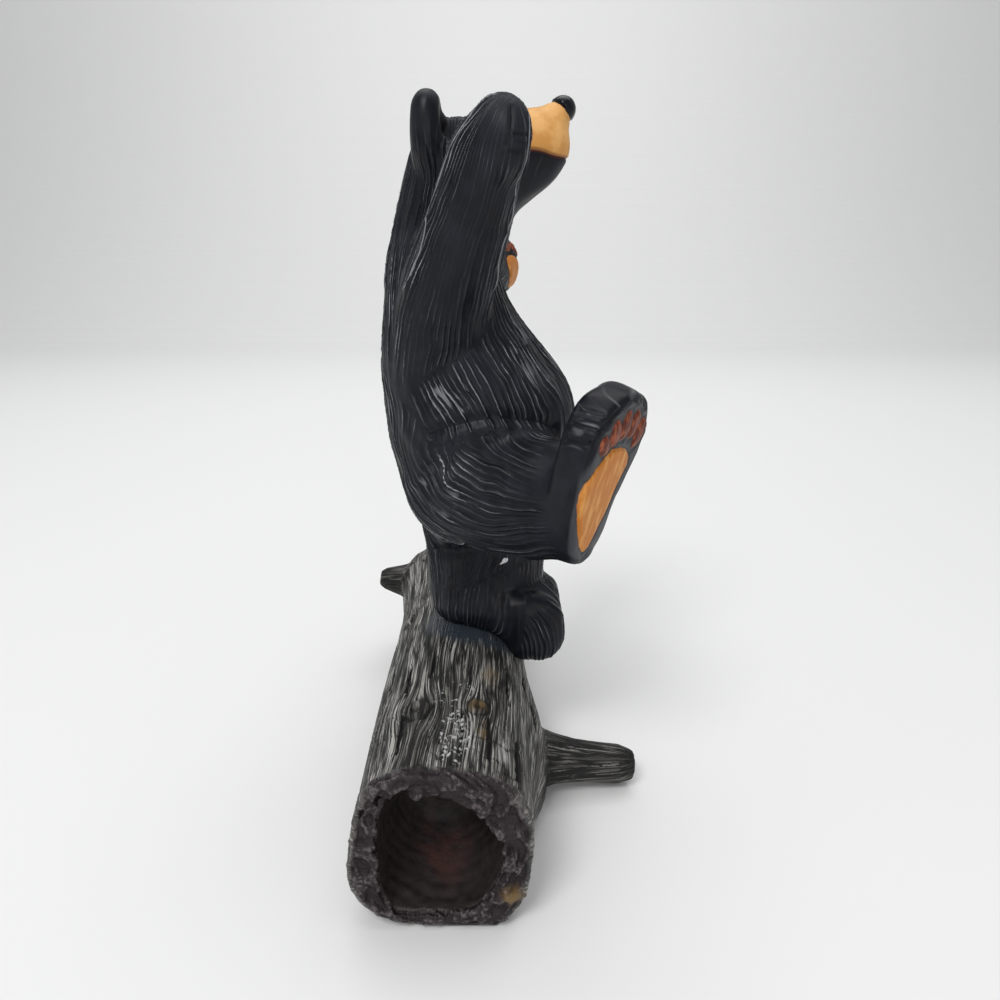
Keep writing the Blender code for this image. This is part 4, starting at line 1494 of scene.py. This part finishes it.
    def bowl_rings(self, points: np.ndarray) -> np.ndarray:
        """Rings that the gouge left in the two scooped ends, in millimetres."""
        x, y, z = points.T
        reach = np.hypot(x, (z - 21.0)) - 0.6 * (self.half_length - np.abs(y))
        wave = reach / 2.9 + 0.9 * rough_noise(points / 11.0, 61, 2)
        faint = 0.5 + 0.5 * soft_noise(points / 6.0, 63)
        rings = 0.16 * faint * (np.abs(np.sin(np.pi * wave)) - 0.6)
        return rings + 0.12 * rough_noise(points / 2.2, 67, 3)

    def stub_grain(self, points: np.ndarray) -> tuple:
        """Grain along the two broken branches.

        Args:
            points: Places, one row each.

        Returns:
            The grain's height from 0 to 1, and coordinates that follow it.
        """
        x, y, z = points.T
        turn = np.arctan2(z - np.where(x > 0, 8.0, 34.0), y - np.where(x > 0, -23.5, 61.0))
        around = np.stack([np.cos(turn), np.sin(turn)], axis=1)
        lines = np.column_stack([around * 7.5, x / 12.0])
        height = fade(np.abs(rough_noise(lines, 73, 3)), 0.0, 0.22)
        flow = np.column_stack([around * 6.0, x])
        return height, flow

    def ochre(self, points: np.ndarray) -> np.ndarray:
        """Ochre staining at the front knot, below it, and at the rim's lower corner."""
        spots = (
            Patch((8.4, -48.5, 43), (3.6, 4.2, 3), 0.7), Patch((10.0, -57, 42), (2.2, 7, 3), 0.7),
            Patch((17.5, -79, 9.5), (4.5, 3, 4.5), 0.8), Patch((11, -32, 42), (4, 7, 4), 0.9),
        )
        return np.max([spot.inside(points) for spot in spots], axis=0)


@dataclass
class Studio:
    """The pale floor, the soft lights and the camera."""

    floor_size: float = 6.0
    sweep: float = 1.0
    camera_place: tuple = (0.0143, -0.2257, 0.153)
    camera_tilt: float = 73.5
    lens: float = 27.04

    def build(self) -> None:
        """Makes the floor, lights and camera."""
        self.floor()
        here = (0.0, 0.0, 0.09)
        self.light("key", (-0.40, -0.85, 1.20), here, 0.5, 9.5)
        self.light("top", (0.10, 0.20, 1.9), here, 1.4, 8.0)
        self.light("front", (0.25, -1.25, 0.40), here, 0.5, 2.2)
        self.light("back", (0.0, 0.9, 1.6), (0.0, 2.3, 0.1), 1.6, 12.0)
        self.world()
        self.camera()
        bpy.context.scene.view_settings.view_transform = "Standard"

    def floor(self) -> None:
        """A pale floor that bends up into a backdrop far behind."""
        mesh = bmesh.new()
        bmesh.ops.create_grid(mesh, x_segments=8, y_segments=96, size=self.floor_size / 2)
        start = self.floor_size / 2 - self.sweep * math.pi / 2
        for vertex in mesh.verts:
            turn = min(max(0.0, vertex.co.y - start) / self.sweep, math.pi / 2)
            if turn:
                vertex.co.y = start + self.sweep * math.sin(turn)
                vertex.co.z = self.sweep * (1 - math.cos(turn))
        data = bpy.data.meshes.new("floor")
        mesh.to_mesh(data)
        mesh.free()
        board = NodeBoard("pale_floor")
        board.shader.inputs["Base Color"].default_value = (0.86, 0.86, 0.855, 1.0)
        board.shader.inputs["Roughness"].default_value = 0.55
        data.materials.append(board.material)
        item = bpy.data.objects.new("floor", data)
        item.location.z = -0.0002
        bpy.context.scene.collection.objects.link(item)

    def light(self, name: str, place: tuple, target: tuple, size: float, power: float) -> None:
        """A soft light.

        Args:
            name: The light's name.
            place: Where it stands, in metres.
            target: Where it points.
            size: The side of its square, in metres.
            power: Its power in watts.
        """
        data = bpy.data.lights.new(name, "AREA")
        data.shape = "SQUARE"
        data.size = size
        data.energy = power
        item = bpy.data.objects.new(name, data)
        item.location = place
        aim = Vector(target) - Vector(place)
        item.rotation_euler = aim.to_track_quat("-Z", "Y").to_euler()
        bpy.context.scene.collection.objects.link(item)

    def world(self) -> None:
        """Even pale light from all round."""
        world = bpy.data.worlds.new("studio")
        world.use_nodes = True
        sky = world.node_tree.nodes["Background"]
        sky.inputs["Color"].default_value = (0.93, 0.94, 0.95, 1.0)
        sky.inputs["Strength"].default_value = 0.43
        bpy.context.scene.world = world

    def camera(self) -> None:
        """The camera, where the photograph was taken from."""
        data = bpy.data.cameras.new("camera")
        data.sensor_width = 36.0
        data.lens = self.lens
        data.clip_start = 0.01
        item = bpy.data.objects.new("camera", data)
        item.location = self.camera_place
        item.rotation_euler = (math.radians(self.camera_tilt), 0.0, 0.0)
        bpy.context.scene.collection.objects.link(item)
        bpy.context.scene.camera = item


def main() -> None:
    """Builds the studio and the two castings, and notes the sizes."""
    logging.basicConfig(level=logging.INFO, format="%(name)s %(message)s")
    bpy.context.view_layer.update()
    Studio().build()
    Log().build()
    Bear().build()


if __name__ == "__main__":
    main()
